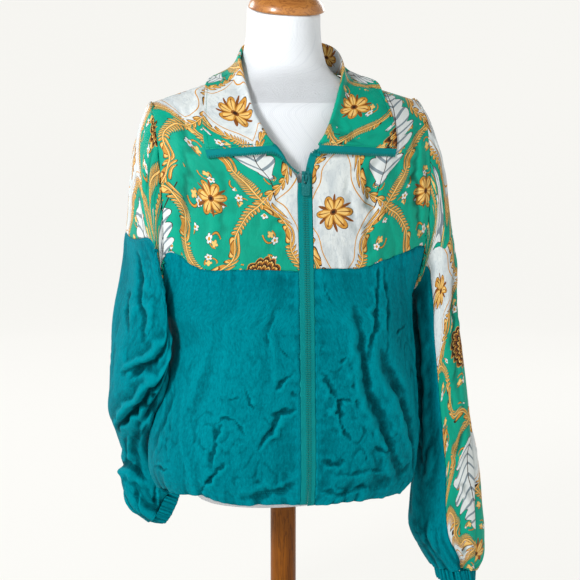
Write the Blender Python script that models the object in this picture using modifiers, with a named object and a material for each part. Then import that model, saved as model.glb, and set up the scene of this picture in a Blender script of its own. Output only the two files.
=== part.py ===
"""Windbreaker worn on a limbless dress form.

The cloth is a set of cut panels. Each panel is a grid of points on a surface
that a few short tables describe, given a wall by Solidify. The dress form, its
pole and its base are turned or ringed solids. All sizes are in metres, +Z is
up, -Y is the wearer's front and +X is the wearer's left. The origin is the
centre of the base's underside.
"""

from math import cos, exp, hypot, pi, radians, sin, tan

import bmesh
import bpy
import numpy as np
from mathutils import Matrix, Vector
from mathutils.bvhtree import BVHTree

# ---- driving dimensions ----
WALL = 0.0012            # cloth wall
SEAM = 0.0003            # gap at each seam, between the walls' inner edges
BODY_INSET = 0.0003      # how far a body panel's outer edge stops off its seam line
SLEEVE_INSET = 0.0006    # a sleeve panel's, whose walls lean together round the arm

BASE_RADIUS = 0.170
BASE_HEIGHT = 0.022
POLE_RADIUS = 0.0195
FORM_BOTTOM = 0.297
NECK_TOP = 1.020         # height of the form's neck ring at its axis
NECK_TILT = radians(14)  # the neck ring leans forward
CAP_RADIUS = 0.055
CAP_RISE = 0.030
REST_GAP = 0.0003        # between solids that rest on each other
CLOTH_REST = 0.0006      # between cloth and what it lies on
STEEPEST_SEAM = 0.35     # least sine of a seam's angle to its panel's rows
REACH = 0.03             # how far off a surface is still looked for under a point
RIM_SHARE = 0.7          # a point leaning further than this is past a face's rim
LAY_PASSES = 4

UNDERARM_Z = 0.605
UNDERARM_REACH = 0.03    # below the underarm the side seam swings to it over this

TAPE_WIDTH = 0.0105
TEETH_GAP = 0.0003       # between the two closed tapes
TAPE_SEAM = 2 * SEAM     # the tape starts this far off the front's edge
TAPE_CORNER = 0.003      # the turned-out tape is drawn in at the collar's corner
TAPE_LOW_SHARE = 0.62    # of the closed tape lies below the chest seam
TAPE_TOP_RIGHT = 0.33    # the yoke's row where the closed tape ends
TAPE_TOP_LEFT = 0.44
STATION_STEP = 0.01      # between two stations that give a line's direction
TAPE_WALL = 0.0010
COLLAR_TAPE_GAP = 0.0007 # the turned-out tape below the collar's front edge


class Table:
    """Rows of named columns, with a smooth value between the rows."""

    def __init__(self, columns, rows):
        self.names = columns.split()
        self.rows = np.array(rows, float)
        keys = self.rows[:, 0]
        self.slopes = np.gradient(self.rows, keys, axis=0)

    def at(self, key):
        """Columns after the first, at this value of the first."""
        keys = self.rows[:, 0]
        key = min(max(key, keys[0]), keys[-1])
        i = min(max(int(np.searchsorted(keys, key)) - 1, 0), len(keys) - 2)
        step = keys[i + 1] - keys[i]
        t = (key - keys[i]) / step
        low, high = self.rows[i], self.rows[i + 1]
        m_low, m_high = self.slopes[i] * step, self.slopes[i + 1] * step
        value = ((2 * t**3 - 3 * t**2 + 1) * low + (t**3 - 2 * t**2 + t) * m_low
                 + (3 * t**2 - 2 * t**3) * high + (t**3 - t**2) * m_high)
        return value[1:]


# ---- the dress form's level rings ----
FORM = Table("z half_width front back", [
    (0.297, 0.150, 0.086, 0.090),
    (0.330, 0.162, 0.098, 0.106),
    (0.380, 0.167, 0.103, 0.112),
    (0.440, 0.157, 0.098, 0.106),
    (0.500, 0.134, 0.090, 0.094),
    (0.550, 0.120, 0.087, 0.086),
    (0.600, 0.122, 0.093, 0.086),
    (0.660, 0.138, 0.106, 0.092),
    (0.715, 0.150, 0.1125, 0.098),
    (0.770, 0.156, 0.109, 0.102),
    (0.820, 0.162, 0.099, 0.102),
    (0.855, 0.176, 0.087, 0.094),
    (0.876, 0.184, 0.080, 0.082),
    (0.8885, 0.1805, 0.074, 0.070),
    (0.8975, 0.1575, 0.069, 0.060),
    (0.9085, 0.1260, 0.066, 0.053),
    (0.9200, 0.0925, 0.065, 0.046),
    (0.9350, 0.0705, 0.065, 0.042),
    (0.9600, 0.0590, 0.066, 0.039),
    (0.9900, 0.0540, 0.070, 0.034),
    (1.0200, 0.0530, 0.073, 0.033),
])
FORM_SIDES = 32
FORM_RINGS = 22
NECK_START = 0.925       # the rings above lean more and more with the neck

# ---- the jacket's level rings below the arms ----
BODY = Table("z right left front back", [
    (0.306, 0.172, 0.184, 0.128, 0.108),
    (0.315, 0.187, 0.195, 0.1345, 0.118),
    (0.335, 0.2005, 0.203, 0.1395, 0.126),
    (0.370, 0.2065, 0.207, 0.1425, 0.129),
    (0.410, 0.200, 0.206, 0.142, 0.127),
    (0.450, 0.189, 0.2045, 0.140, 0.124),
    (0.510, 0.1775, 0.201, 0.138, 0.120),
    (0.560, 0.1735, 0.197, 0.136, 0.118),
    (0.605, 0.180, 0.193, 0.1335, 0.118),
    (0.660, 0.187, 0.195, 0.1300, 0.118),
    (0.720, 0.192, 0.197, 0.1245, 0.117),
    (0.785, 0.196, 0.199, 0.1188, 0.113),
])
HEM_Z = 0.306            # at the left side seam; the hem rises from there
HEM_RISE_FRONT = 0.010
HEM_RISE_BACK = 0.004
HEM_RISE_RIGHT = 0.014
BODY_POWER = 0.86        # under 1 squares the rings off a little

# ---- the printed yokes: the front edge and the armhole, row by row ----
# v is 0 at the chest seam and 1 at the shoulder, even steps round the armhole;
# turn is the row's swing in degrees
YOKE_ANGLE = 120         # where the chest seam meets the armhole, 0 at the shoulder
UNDERARM_SHARE = 0.75    # of a lower panel's rows lie below the underarm
YOKE_RIGHT = Table("v x y z turn", [
    (0.000, 0.0108, -0.1303, 0.6555, 64),
    (0.150, 0.0108, -0.1258, 0.706, 57),
    (0.275, 0.0108, -0.1210, 0.757, 50),
    (0.350, 0.0114, -0.1192, 0.783, 46),
    (0.417, 0.0290, -0.1180, 0.806, 42),
    (0.492, 0.0465, -0.1150, 0.826, 38),
    (0.583, 0.0600, -0.1030, 0.850, 34),
    (0.692, 0.0695, -0.0850, 0.875, 31),
    (0.817, 0.0765, -0.0600, 0.902, 28),
    (0.925, 0.0805, -0.0330, 0.921, 26),
    (1.000, 0.0830, -0.0100, 0.926, 25),
])
YOKE_LEFT = Table("v x y z turn", [
    (0.000, 0.0108, -0.1303, 0.6555, 64),
    (0.150, 0.0108, -0.1258, 0.706, 57),
    (0.275, 0.0108, -0.1210, 0.757, 50),
    (0.350, 0.0112, -0.1192, 0.783, 46),
    (0.417, 0.0165, -0.1178, 0.806, 42),
    (0.492, 0.0270, -0.1145, 0.828, 38),
    (0.583, 0.0390, -0.1030, 0.851, 34),
    (0.692, 0.0530, -0.0850, 0.876, 31),
    (0.817, 0.0700, -0.0600, 0.902, 28),
    (0.925, 0.0825, -0.0330, 0.920, 26),
    (1.000, 0.0900, -0.0100, 0.924, 25),
])
# how far the chest seam lies under its level rows, from the zip to the armhole
CHEST_DROP_RIGHT = Table("u drop", [
    (0.00, 0.0033),
    (0.20, 0.0042),
    (0.40, 0.0075),
    (0.50, 0.0102),
    (0.60, 0.0120),
    (0.68, 0.0104),
    (0.75, 0.0052),
    (0.82, -0.0026),
    (0.88, -0.0054),
    (0.95, -0.0036),
    (1.00, 0.0),
])
CHEST_DROP_LEFT = Table("u drop", [
    (0.00, 0.0),
    (0.10, 0.0026),
    (0.20, 0.0056),
    (0.30, 0.0082),
    (0.36, 0.0078),
    (0.45, 0.0042),
    (0.60, 0.0),
    (0.75, -0.0036),
    (0.88, -0.0052),
    (0.95, -0.0034),
    (1.00, 0.0),
])
# how far the right front's hem lifts over its level row, from the zip outward
HEM_LIFT_RIGHT = Table("u lift", [
    (0.00, 0.0020),
    (0.10, 0.0044),
    (0.25, 0.0036),
    (0.35, 0.0062),
    (0.42, 0.0104),
    (0.50, 0.0136),
    (0.58, 0.0122),
    (0.66, 0.0092),
    (0.80, 0.0084),
    (0.90, 0.0062),
    (0.95, 0.0036),
    (1.00, 0.0),
])
DROP_FADE_BELOW = 4      # powers by which the drop dies away from the seam
DROP_FADE_ABOVE = 3
# back yoke: the centre line's height and depth
YOKE_BACK = Table("v z depth turn", [
    (0.000, 0.668, 0.1200, 66),
    (0.250, 0.745, 0.1180, 62),
    (0.483, 0.830, 0.1090, 55),
    (0.683, 0.885, 0.0930, 46),
    (0.858, 0.922, 0.0740, 36),
    (1.000, 0.942, 0.0580, 30),
])
BACK_NECK_SHARE = 0.42   # of the back yoke's top edge that is neckline

# ---- the sleeves' rings: outer and inner points, centre depth, half depth ----
# raise lifts the ring's front and back over its middle
SLEEVE_RIGHT = Table("w outer_x outer_z inner_x inner_z y depth raise swing", [
    (0.00, 0.2000, 0.885, 0.1900, 0.605, -0.005, 0.080, 0.000, 0.000),
    (0.06, 0.2130, 0.853, 0.1965, 0.603, -0.006, 0.080, 0.014, 0.000),
    (0.14, 0.2215, 0.785, 0.1990, 0.594, -0.005, 0.078, 0.032, 0.002),
    (0.25, 0.2290, 0.700, 0.1985, 0.578, -0.003, 0.075, 0.044, 0.008),
    (0.33, 0.2345, 0.640, 0.1950, 0.555, -0.002, 0.072, 0.030, 0.018),
    (0.41, 0.2430, 0.585, 0.1900, 0.522, 0.002, 0.069, 0.014, 0.022),
    (0.50, 0.2525, 0.525, 0.1860, 0.485, 0.012, 0.065, 0.004, 0.020),
    (0.58, 0.2565, 0.470, 0.1900, 0.442, 0.034, 0.059, 0.000, 0.014),
    (0.65, 0.2550, 0.425, 0.2010, 0.402, 0.064, 0.050, 0.000, 0.006),
    (0.72, 0.2410, 0.383, 0.1950, 0.364, 0.098, 0.044, 0.000, 0.000),
    (0.80, 0.2300, 0.338, 0.1720, 0.324, 0.116, 0.041, 0.000, 0.000),
    (0.87, 0.2315, 0.297, 0.1560, 0.302, 0.118, 0.040, 0.000, 0.000),
    (0.93, 0.2200, 0.262, 0.1560, 0.297, 0.114, 0.037, 0.000, 0.000),
    (1.00, 0.1920, 0.236, 0.1620, 0.294, 0.108, 0.029, 0.000, 0.000),
])
SLEEVE_LEFT = Table("w outer_x outer_z inner_x inner_z y depth raise swing", [
    (0.00, 0.2060, 0.892, 0.1950, 0.605, -0.005, 0.080, 0.000, 0.000),
    (0.06, 0.2230, 0.858, 0.2015, 0.603, -0.004, 0.080, 0.014, 0.000),
    (0.14, 0.2400, 0.775, 0.2050, 0.593, -0.002, 0.079, 0.032, 0.000),
    (0.23, 0.2610, 0.700, 0.2060, 0.574, 0.000, 0.077, 0.044, 0.002),
    (0.31, 0.2770, 0.645, 0.2080, 0.552, 0.000, 0.074, 0.030, 0.002),
    (0.39, 0.2825, 0.585, 0.2090, 0.520, 0.000, 0.071, 0.014, 0.002),
    (0.48, 0.2915, 0.520, 0.2095, 0.480, 0.000, 0.068, 0.004, 0.000),
    (0.57, 0.2995, 0.455, 0.2115, 0.430, 0.000, 0.065, 0.000, 0.000),
    (0.66, 0.3070, 0.385, 0.2145, 0.375, 0.000, 0.062, 0.000, 0.000),
    (0.74, 0.3175, 0.325, 0.2150, 0.320, 0.000, 0.059, 0.000, 0.000),
    (0.82, 0.3245, 0.270, 0.2090, 0.268, 0.000, 0.056, 0.000, 0.000),
    (0.89, 0.3285, 0.220, 0.2110, 0.222, 0.000, 0.053, 0.000, 0.000),
    (0.95, 0.3260, 0.180, 0.2330, 0.185, 0.000, 0.047, 0.000, 0.000),
    (1.00, 0.3160, 0.158, 0.2500, 0.160, 0.000, 0.037, 0.000, 0.000),
])
SLEEVE_COLUMNS = 24
SLEEVE_POWER = 0.92
SLEEVE_START = 0.0015    # the sleeve head starts this far off the armhole
UNDERARM_START = 0.0020  # and this much further under the arm
HEAD_END_RIGHT = 0.26    # w where the printed head ends outside
HEAD_END_LEFT = 0.245
HEAD_END_UNDER = 0.06    # and under the arm, where its seam runs to the armhole
HEAD_END_TURN = 87       # the angle where it leaves the level line
HEAD_END_SPAN = 46       # and how many degrees it takes
# angles round the left sleeve, 0 outside and 90 in front, where its panels meet;
# v is 0 at the head's seam and 1 at the cuff
LEFT_PANELS = Table("v front middle back", [
    (0.00, 135, 15, -120),
    (0.35, 124, 34, -126),
    (0.70, 112, 58, -126),
    (1.00, 100, 66, -124),
])

CUFF_STITCH_GAP = 0.0006
CUFF_LENGTH = 0.022
CUFF_AXIS_W = 0.985      # sleeve row that gives a cuff's direction
CUFF_SNUG = 0.97         # a cuff's ring to the sleeve's last one
CUFF_TAPER = 0.05
CUFF_COLUMNS = 24
RIGHT_CUFF_AXIS = Vector((0.93, -0.06, -0.30))   # the right cuff turns in behind

# ---- the collar: its roll line and its outer edge from right front to left ----
ROLL = Table("s x y z", [
    (0.00, -0.0440, -0.1215, 0.8290),
    (0.05, -0.0530, -0.1175, 0.8410),
    (0.13, -0.0640, -0.0990, 0.8680),
    (0.22, -0.0700, -0.0720, 0.9050),
    (0.30, -0.0715, -0.0400, 0.9395),
    (0.38, -0.0640, -0.0020, 0.9620),
    (0.44, -0.0420, 0.0380, 0.9760),
    (0.50, 0.0020, 0.0560, 0.9840),
    (0.56, 0.0480, 0.0500, 0.9840),
    (0.62, 0.0800, 0.0220, 0.9740),
    (0.70, 0.0840, -0.0260, 0.9450),
    (0.78, 0.0660, -0.0700, 0.9050),
    (0.87, 0.0460, -0.0980, 0.8680),
    (0.95, 0.0290, -0.1170, 0.8420),
    (1.00, 0.0190, -0.1215, 0.8290),
])
FALL_EDGE = Table("s x y z", [
    (0.00, -0.1380, -0.1060, 0.8215),
    (0.10, -0.1392, -0.0980, 0.8420),
    (0.20, -0.1360, -0.0820, 0.8675),
    (0.30, -0.1270, -0.0520, 0.8950),
    (0.38, -0.1150, -0.0100, 0.9180),
    (0.44, -0.0880, 0.0500, 0.9280),
    (0.50, 0.0000, 0.0860, 0.9340),
    (0.56, 0.0900, 0.0560, 0.9330),
    (0.63, 0.1330, -0.0100, 0.9240),
    (0.71, 0.1395, -0.0520, 0.8970),
    (0.80, 0.1435, -0.0800, 0.8660),
    (0.90, 0.1440, -0.0940, 0.8420),
    (1.00, 0.1420, -0.1010, 0.8215),
])
COLLAR_COLUMNS = 38
COLLAR_LEVELS = (0, 0.10, 0.20, 0.30, 0.35, 0.41, 0.46, 0.58, 0.72, 0.86, 1.0)
STAND_END = 0.30         # the collar's stand ends here and its roll begins
ROLL_END = 0.46          # the roll ends here and its fall begins
STAND_BOW = 0.5          # how hard the stand runs straight down from the roll
STAND_BOW_SHARE = 0.6
FALL_DROP = 0.40         # the fall's bend: down, and away from the neck
FALL_SPREAD = 0.05
FALL_END_SHARE = 0.12    # the fall lies flatter within this share of its ends
NECK_CENTRE = Vector((0.005, -0.010, 0))   # the roll faces away from here
STAND_REST = WALL + 1.5 * CLOTH_REST       # the collar over the yokes
FALL_REST = WALL + 2.5 * CLOTH_REST
BACK_YOKE_REST = WALL + 2.4 * CLOTH_REST   # the back yoke over the form
ROLL_RADIUS = 0.0028
COLLAR_NECK_V = 0.50     # where along the yokes' edges the collar's seam begins
NECK_STATION = 0.38      # collar station at the right shoulder; the left mirrors it
COLLAR_LIFT = 0.0012     # the collar's seam edge stands this far off the yokes

# ---- the right front's turned-out run beside the roll: teeth and inner edge ----
LAPEL_RIGHT = Table("n x y z inner_x inner_y inner_z", [
    (0, -0.0085, -0.1240, 0.7870, -0.0122, -0.1242, 0.7890),
    (1, -0.0190, -0.1245, 0.7950, -0.0222, -0.1247, 0.7995),
    (2, -0.0315, -0.1250, 0.8060, -0.0325, -0.1252, 0.8125),
])

# ---- the slider and its pull tab ----
SLIDER_TOP_Z = 0.7915
SLIDER_LENGTH = 0.0150
SLIDER_TOP_WIDTH = 0.0105
SLIDER_BOTTOM_WIDTH = 0.0085
SLIDER_THICKNESS = 0.0040
SLIDER_CORNER = 0.0018
SLIDER_FACE_Y = -0.1240  # its front face
BRIDGE_WIDTH = 0.0030
BRIDGE_WALL = 0.0010
BRIDGE_HALF_LENGTH = 0.0056
BRIDGE_HEIGHT = 0.0036
BRIDGE_STEPS = 10
BRIDGE_SINK = 0.0004     # the bridge's feet are sunk this far into the slider
PULL_AXIS_UP = 0.0024    # the pull's axis over the bridge's middle
PULL_AXIS_OUT = 0.0010   # and out from the slider's face
PULL_WIDTH = 0.0115
PULL_LENGTH = 0.0290     # below its axis
PULL_BAR = 0.0010        # the eye's bar, and the tab's thickness
PULL_SIDES = 32
PULL_ROUNDING = 0.35
EYE_ROUNDING = 0.7
EYE_WIDTH = 0.0054
EYE_LENGTH = 0.0125


# ---- surfaces ----
def form_lean(z):
    """Slope of the form's ring at this height; the neck's rings lean forward."""
    return tan(NECK_TILT) * min(max((z - NECK_START) / (NECK_TOP - NECK_START), 0), 1)


def arc_row(start, end, turn, u, power=1.0):
    """Point at share u of a level row that swings through turn degrees."""
    swing = radians(turn)
    angle = swing * u
    across = sin(angle)**power / sin(swing)**power
    away = (1 - cos(angle)**power) / (1 - cos(swing)**power)
    x = start.x + (end.x - start.x) * across
    y = start.y + (end.y - start.y) * away
    z = start.z + (end.z - start.z) * u
    return Vector((x, y, z))


def sleeve_table(side):
    """The ring table of the sleeve on this side, -1 the right and 1 the left."""
    return SLEEVE_RIGHT if side < 0 else SLEEVE_LEFT


def sleeve_ring(side, w, angle):
    """Point on a sleeve ring: 0 outside, 90 in front, 180 inside, 270 behind."""
    outer_x, outer_z, inner_x, inner_z, y, depth, lift, swing = sleeve_table(side).at(w)
    a = radians(angle)
    c, s = cos(a), sin(a)
    power = 1.0 + (SLEEVE_POWER - 1.0) * min(w / 0.2, 1.0)
    c = abs(c)**power * (1 if c > 0 else -1)
    s_shaped = abs(s)**power * (1 if s > 0 else -1)
    x = (outer_x + inner_x) / 2 + (outer_x - inner_x) / 2 * c - swing * s
    z = (outer_z + inner_z) / 2 + (outer_z - inner_z) / 2 * c + lift * s**2
    return Vector((side * x, y - depth * s_shaped, z))


def sleeve_point(side, w, angle):
    """A sleeve point, kept clear of the armhole's seam at the sleeve's start."""
    point = sleeve_ring(side, w, angle)
    if w > 0:
        return point
    ahead = sleeve_ring(side, 0.06, angle) - point
    under = (1 - cos(radians(angle))) / 2
    return point + ahead.normalized() * (SLEEVE_START + UNDERARM_START * under)


def head_end(side, angle):
    """Where the sleeve's printed head ends: level outside, then up to the armhole."""
    angle = (angle + 180) % 360 - 180
    outside = HEAD_END_RIGHT if side < 0 else HEAD_END_LEFT
    share = min(max((abs(angle) - HEAD_END_TURN) / HEAD_END_SPAN, 0.0), 1.0)
    share = share * share * (3 - 2 * share)
    return outside + (HEAD_END_UNDER - outside) * share


def armhole(side, angle):
    """Point on the armhole, 180 at the underarm, 0 at the shoulder.

    The loop runs straight between the sleeve's own columns, so that both match."""
    step = 360 / SLEEVE_COLUMNS
    before = step * (angle // step)
    start = sleeve_ring(side, 0.0, before)
    return start.lerp(sleeve_ring(side, 0.0, before + step), (angle - before) / step)


def yoke_angle(v):
    """The armhole's angle at a yoke's row."""
    return YOKE_ANGLE * (1 - v)


def side_rail(side, v, front):
    """End of a lower panel's row and its swing: the side seam, then the armhole."""
    top_turn = (YOKE_LEFT if front else YOKE_BACK).at(0.0)[-1]
    if v > UNDERARM_SHARE:
        share = (v - UNDERARM_SHARE) / (1 - UNDERARM_SHARE)
        angle = 180 - (180 - YOKE_ANGLE) * share
        return armhole(side, angle if front else -angle), 90 + (top_turn - 90) * share
    hem = HEM_Z + (HEM_RISE_RIGHT if side < 0 else 0.0)
    z = hem + (UNDERARM_Z - hem) * v / UNDERARM_SHARE
    right, left, _, _ = BODY.at(z)
    under = armhole(side, 180)
    half = right if side < 0 else left
    nearness = exp(-((UNDERARM_Z - z) / UNDERARM_REACH)**2)
    x = side * half * (1 - nearness) + under.x * nearness
    return Vector((x, under.y * nearness, z)), 90


def chest_drop(side, u):
    """How far the chest seam drops, as a vector."""
    drop, = (CHEST_DROP_RIGHT if side < 0 else CHEST_DROP_LEFT).at(u)
    return Vector((0, 0, -drop))


def hem_lift(side, u):
    """How far the hem lifts, as a vector."""
    lift, = HEM_LIFT_RIGHT.at(u) if side < 0 else (0.0,)
    return Vector((0, 0, lift))


def lower_front(side, u, v):
    """Lower front: u from the zip to the side seam, v from hem to chest seam."""
    x, _, top, _ = (YOKE_RIGHT if side < 0 else YOKE_LEFT).at(0.0)
    hem = HEM_Z + HEM_RISE_FRONT
    z = hem + (top - hem) * v
    start = Vector((side * x, -BODY.at(z)[2], z))
    end, turn = side_rail(side, v, True)
    power = BODY_POWER + (1 - BODY_POWER) * v**3
    row = arc_row(start, end, turn, u, power)
    return (row + chest_drop(side, u) * v**DROP_FADE_BELOW
            + hem_lift(side, u) * (1 - v)**DROP_FADE_BELOW)


def upper_front(side, u, v):
    """Front yoke: u from the zip or neckline to the armhole, v to the shoulder."""
    x, y, z, turn = (YOKE_RIGHT if side < 0 else YOKE_LEFT).at(v)
    row = arc_row(Vector((side * x, y, z)), armhole(side, yoke_angle(v)), turn, u)
    return row + chest_drop(side, u) * (1 - v)**DROP_FADE_ABOVE


def lower_back(u, v):
    """Lower back: u from -1 at the right side to 1 at the left, v up from the hem."""
    side = -1 if u < 0 else 1
    top, _, _ = YOKE_BACK.at(0.0)
    hem = HEM_Z + HEM_RISE_BACK
    z = hem + (top - hem) * v
    start = Vector((0.0, BODY.at(z)[3], z))
    end, turn = side_rail(side, v, False)
    power = BODY_POWER + (1 - BODY_POWER) * v**3
    return arc_row(start, end, turn, abs(u), power)


def neck_point(side):
    """Where the neckline meets the shoulder seam."""
    x, y, z, _ = (YOKE_RIGHT if side < 0 else YOKE_LEFT).at(1.0)
    return Vector((side * x, y, z))


def back_neckline(t):
    """Neckline behind the neck: t from -1 at the right shoulder to 1 at the left."""
    side = -1 if t < 0 else 1
    z, depth, _ = YOKE_BACK.at(1.0)
    end = neck_point(side)
    angle = pi / 2 * abs(t)
    x = end.x * sin(angle)
    y = end.y + (depth - end.y) * cos(angle)
    return Vector((x, y, end.z + (z - end.z) * cos(angle)))


def upper_back(u, v):
    """Back yoke: u from the right armhole to the left, v from its seam to the top."""
    side = -1 if u < 0 else 1
    z, depth, turn = YOKE_BACK.at(v)
    end = armhole(side, -yoke_angle(v))
    row = arc_row(Vector((0.0, depth, z)), end, turn, abs(u))
    if abs(u) < BACK_NECK_SHARE:
        top = back_neckline(u / BACK_NECK_SHARE)
    else:
        share = (abs(u) - BACK_NECK_SHARE) / (1 - BACK_NECK_SHARE)
        top = neck_point(side).lerp(armhole(side, 0), share)
    blend = v**5
    return row.lerp(top, blend)


def neckline(s):
    """The collar's seam line: s from the right front round to the left front."""
    if NECK_STATION <= s <= 1 - NECK_STATION:
        return back_neckline((s - 0.5) / (0.5 - NECK_STATION))
    side = -1 if s < 0.5 else 1
    along = (s if side < 0 else 1 - s) / NECK_STATION
    v = COLLAR_NECK_V + (1 - COLLAR_NECK_V) * along
    return upper_front(side, 0.0, v)


def collar_point(s, t):
    """Collar: t from 0 at the neckline, over the roll at 0.4, to 1 at its edge."""
    roll = Vector(ROLL.at(s))
    ahead = Vector(ROLL.at(min(s + STATION_STEP, 1.0)))
    ahead -= Vector(ROLL.at(max(s - STATION_STEP, 0.0)))
    ahead.normalize()
    edge = Vector(FALL_EDGE.at(s))
    seam = neckline(s)
    away = (roll - NECK_CENTRE) * Vector((1, 1, 0))
    away.normalize()
    away = (away - ahead * away.dot(ahead)).normalized()
    rise = ahead.cross(away)
    rise = rise if rise.dot(roll - seam) > 0 else -rise
    centre = roll - rise * ROLL_RADIUS
    inner = centre - away * ROLL_RADIUS
    outer = centre + away * ROLL_RADIUS
    foot = seam + (inner - seam).normalized() * COLLAR_LIFT
    if t < STAND_END:
        share = t / STAND_END
        middle = (foot + inner) / 2
        bow = inner - rise * (inner - foot).length * STAND_BOW
        guide = middle.lerp(bow, STAND_BOW_SHARE)
        return (foot * (1 - share)**2 + guide * 2 * share * (1 - share)
                + inner * share**2)
    if t < ROLL_END:
        angle = pi * (t - STAND_END) / (ROLL_END - STAND_END)
        return (centre - away * ROLL_RADIUS * cos(angle)
                + rise * ROLL_RADIUS * sin(angle))
    share = (t - ROLL_END) / (1 - ROLL_END)
    reach = (edge - outer).length
    middle = min(min(s, 1 - s) / FALL_END_SHARE, 1.0)
    straight = (edge - outer).normalized()
    down = straight.lerp(-rise, middle)
    guide = outer + down * reach * FALL_DROP + away * reach * FALL_SPREAD
    return (outer * (1 - share)**2 + guide * 2 * share * (1 - share)
            + edge * share**2)


# ---- the largest folds: soft ridges along a line on a panel ----
# u and v are the panel's own shares at both ends; high and wide are in metres
FOLDS_FRONT_LEFT = Table("n u1 v1 u2 v2 high wide", [
    (0, 0.62, 0.96, 0.80, 0.30, 0.0096, 0.016),
    (1, 0.46, 0.86, 0.72, 0.20, 0.0080, 0.014),
    (2, 0.30, 0.45, 0.62, 0.14, 0.0072, 0.014),
    (3, 0.18, 0.62, 0.36, 0.40, 0.0056, 0.012),
    (4, 0.40, 0.34, 0.52, 0.06, 0.0064, 0.010),
])
FOLDS_FRONT_RIGHT = Table("n u1 v1 u2 v2 high wide", [
    (0, 0.03, 0.44, 0.34, 0.20, 0.0072, 0.014),
    (1, 0.40, 0.40, 0.58, 0.34, 0.0056, 0.012),
    (2, 0.50, 0.16, 0.66, 0.01, 0.0064, 0.012),
    (3, 0.10, 0.66, 0.52, 0.60, 0.0048, 0.014),
])
FOLDS_BACK = Table("n u1 v1 u2 v2 high wide", [
    (0, 0.40, 0.88, 0.19, 0.30, 0.0088, 0.016),
    (1, 0.55, 0.80, 0.78, 0.24, 0.0088, 0.016),
    (2, 0.48, 0.46, 0.61, 0.08, 0.0072, 0.014),
    (3, 0.30, 0.30, 0.40, 0.04, 0.0064, 0.012),
])
FOLDS_SLEEVE_RIGHT = Table("n u1 v1 u2 v2 high wide", [
    (0, 0.05, 0.46, 0.60, 0.58, 0.0096, 0.014),
    (1, 0.40, 0.30, 0.72, 0.50, 0.0080, 0.014),
    (2, 0.06, 0.76, 0.55, 0.90, 0.0080, 0.012),
    (3, 0.30, 0.06, 0.45, 0.34, 0.0064, 0.012),
])


def shares_between(point, start, end, sizes):
    """How far along a line and how far off it a panel point is, in metres off."""
    line = np.array(end) - np.array(start)
    step = np.array(point) - np.array(start)
    scaled_line, scaled_step = line * sizes, step * sizes
    along = float(scaled_step @ scaled_line) / float(scaled_line @ scaled_line)
    off = scaled_step - scaled_line * along
    return along, hypot(*off)


FOLD_TAIL = 0.15         # a fold fades out over this share past its ends


def fold_height(folds, sizes, u, v):
    """Height that the folds add at a panel point."""
    height = 0.0
    if folds is None:
        return height
    for _, u1, v1, u2, v2, high, wide in folds.rows:
        along, off = shares_between((u, v), (u1, v1), (u2, v2), np.array(sizes))
        if not -FOLD_TAIL < along < 1 + FOLD_TAIL:
            continue
        fade = sin(pi * (along + FOLD_TAIL) / (1 + 2 * FOLD_TAIL))
        height += high * fade * exp(-(off / wide)**2)
    return height


# ---- making objects ----
def clear_scene():
    """Remove what the file opens with."""
    for thing in list(bpy.data.objects):
        bpy.data.objects.remove(thing, do_unlink=True)


def material(name, colour, roughness, metallic=0.0):
    """A plain material of one colour."""
    made = bpy.data.materials.new(name)
    made.use_nodes = True
    shader = made.node_tree.nodes["Principled BSDF"]
    shader.inputs["Base Color"].default_value = (*colour, 1)
    shader.inputs["Roughness"].default_value = roughness
    shader.inputs["Metallic"].default_value = metallic
    return made


def add_object(name, mesh, finish, collection):
    """Link a mesh as a named object."""
    thing = bpy.data.objects.new(name, mesh)
    mesh.materials.append(finish)
    collection.objects.link(thing)
    for polygon in mesh.polygons:
        polygon.use_smooth = True
    return thing


def normals_of(points, round_u):
    """Unit normals of a grid of points, from its neighbours."""
    grid = np.array([[tuple(p) for p in row] for row in points])
    if round_u:
        across = np.roll(grid, -1, axis=1) - np.roll(grid, 1, axis=1)
    else:
        across = np.gradient(grid, axis=1)
    along = np.gradient(grid, axis=0)
    normal = np.cross(across, along)
    length = np.linalg.norm(normal, axis=2, keepdims=True)
    return grid, normal / np.maximum(length, 1e-12)


def grid_mesh(name, grid, round_u=False, flip=False):
    """A quad mesh over a grid of points."""
    rows, columns = grid.shape[:2]
    vertices = [tuple(p) for p in grid.reshape(-1, 3)]
    faces = []
    for j in range(rows - 1):
        for i in range(columns if round_u else columns - 1):
            k = (i + 1) % columns
            face = [j * columns + i, j * columns + k,
                    (j + 1) * columns + k, (j + 1) * columns + i]
            faces.append(face[::-1] if flip else face)
    mesh = bpy.data.meshes.new(name)
    mesh.from_pydata(vertices, [], faces)
    mesh.validate()
    return mesh


def inset_edges(grid, seams, amount):
    """Draw the named edges of a grid in from their seam lines.

    seams names them: l and r at the ends of u, b and t at the ends of v."""
    moves = {"l": (grid[:, 0], grid[:, 1]), "r": (grid[:, -1], grid[:, -2]),
             "b": (grid[0], grid[1]), "t": (grid[-1], grid[-2])}
    for key in seams:
        edge, beside = moves[key]
        step = beside - edge
        step /= np.linalg.norm(step, axis=1, keepdims=True)
        along = np.gradient(edge, axis=0)
        along /= np.linalg.norm(along, axis=1, keepdims=True)
        slant = np.linalg.norm(np.cross(along, step), axis=1, keepdims=True)
        edge += step * amount / np.maximum(slant, STEEPEST_SEAM)


def outer_face(*things):
    """The outer faces of these objects, as something a point can be laid on."""
    vertices, faces = [], []
    for thing in things:
        start = len(vertices)
        vertices += [thing.matrix_world @ v.co for v in thing.data.vertices]
        faces += [[start + i for i in p.vertices] for p in thing.data.polygons]
    return BVHTree.FromPolygons(vertices, faces)


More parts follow.
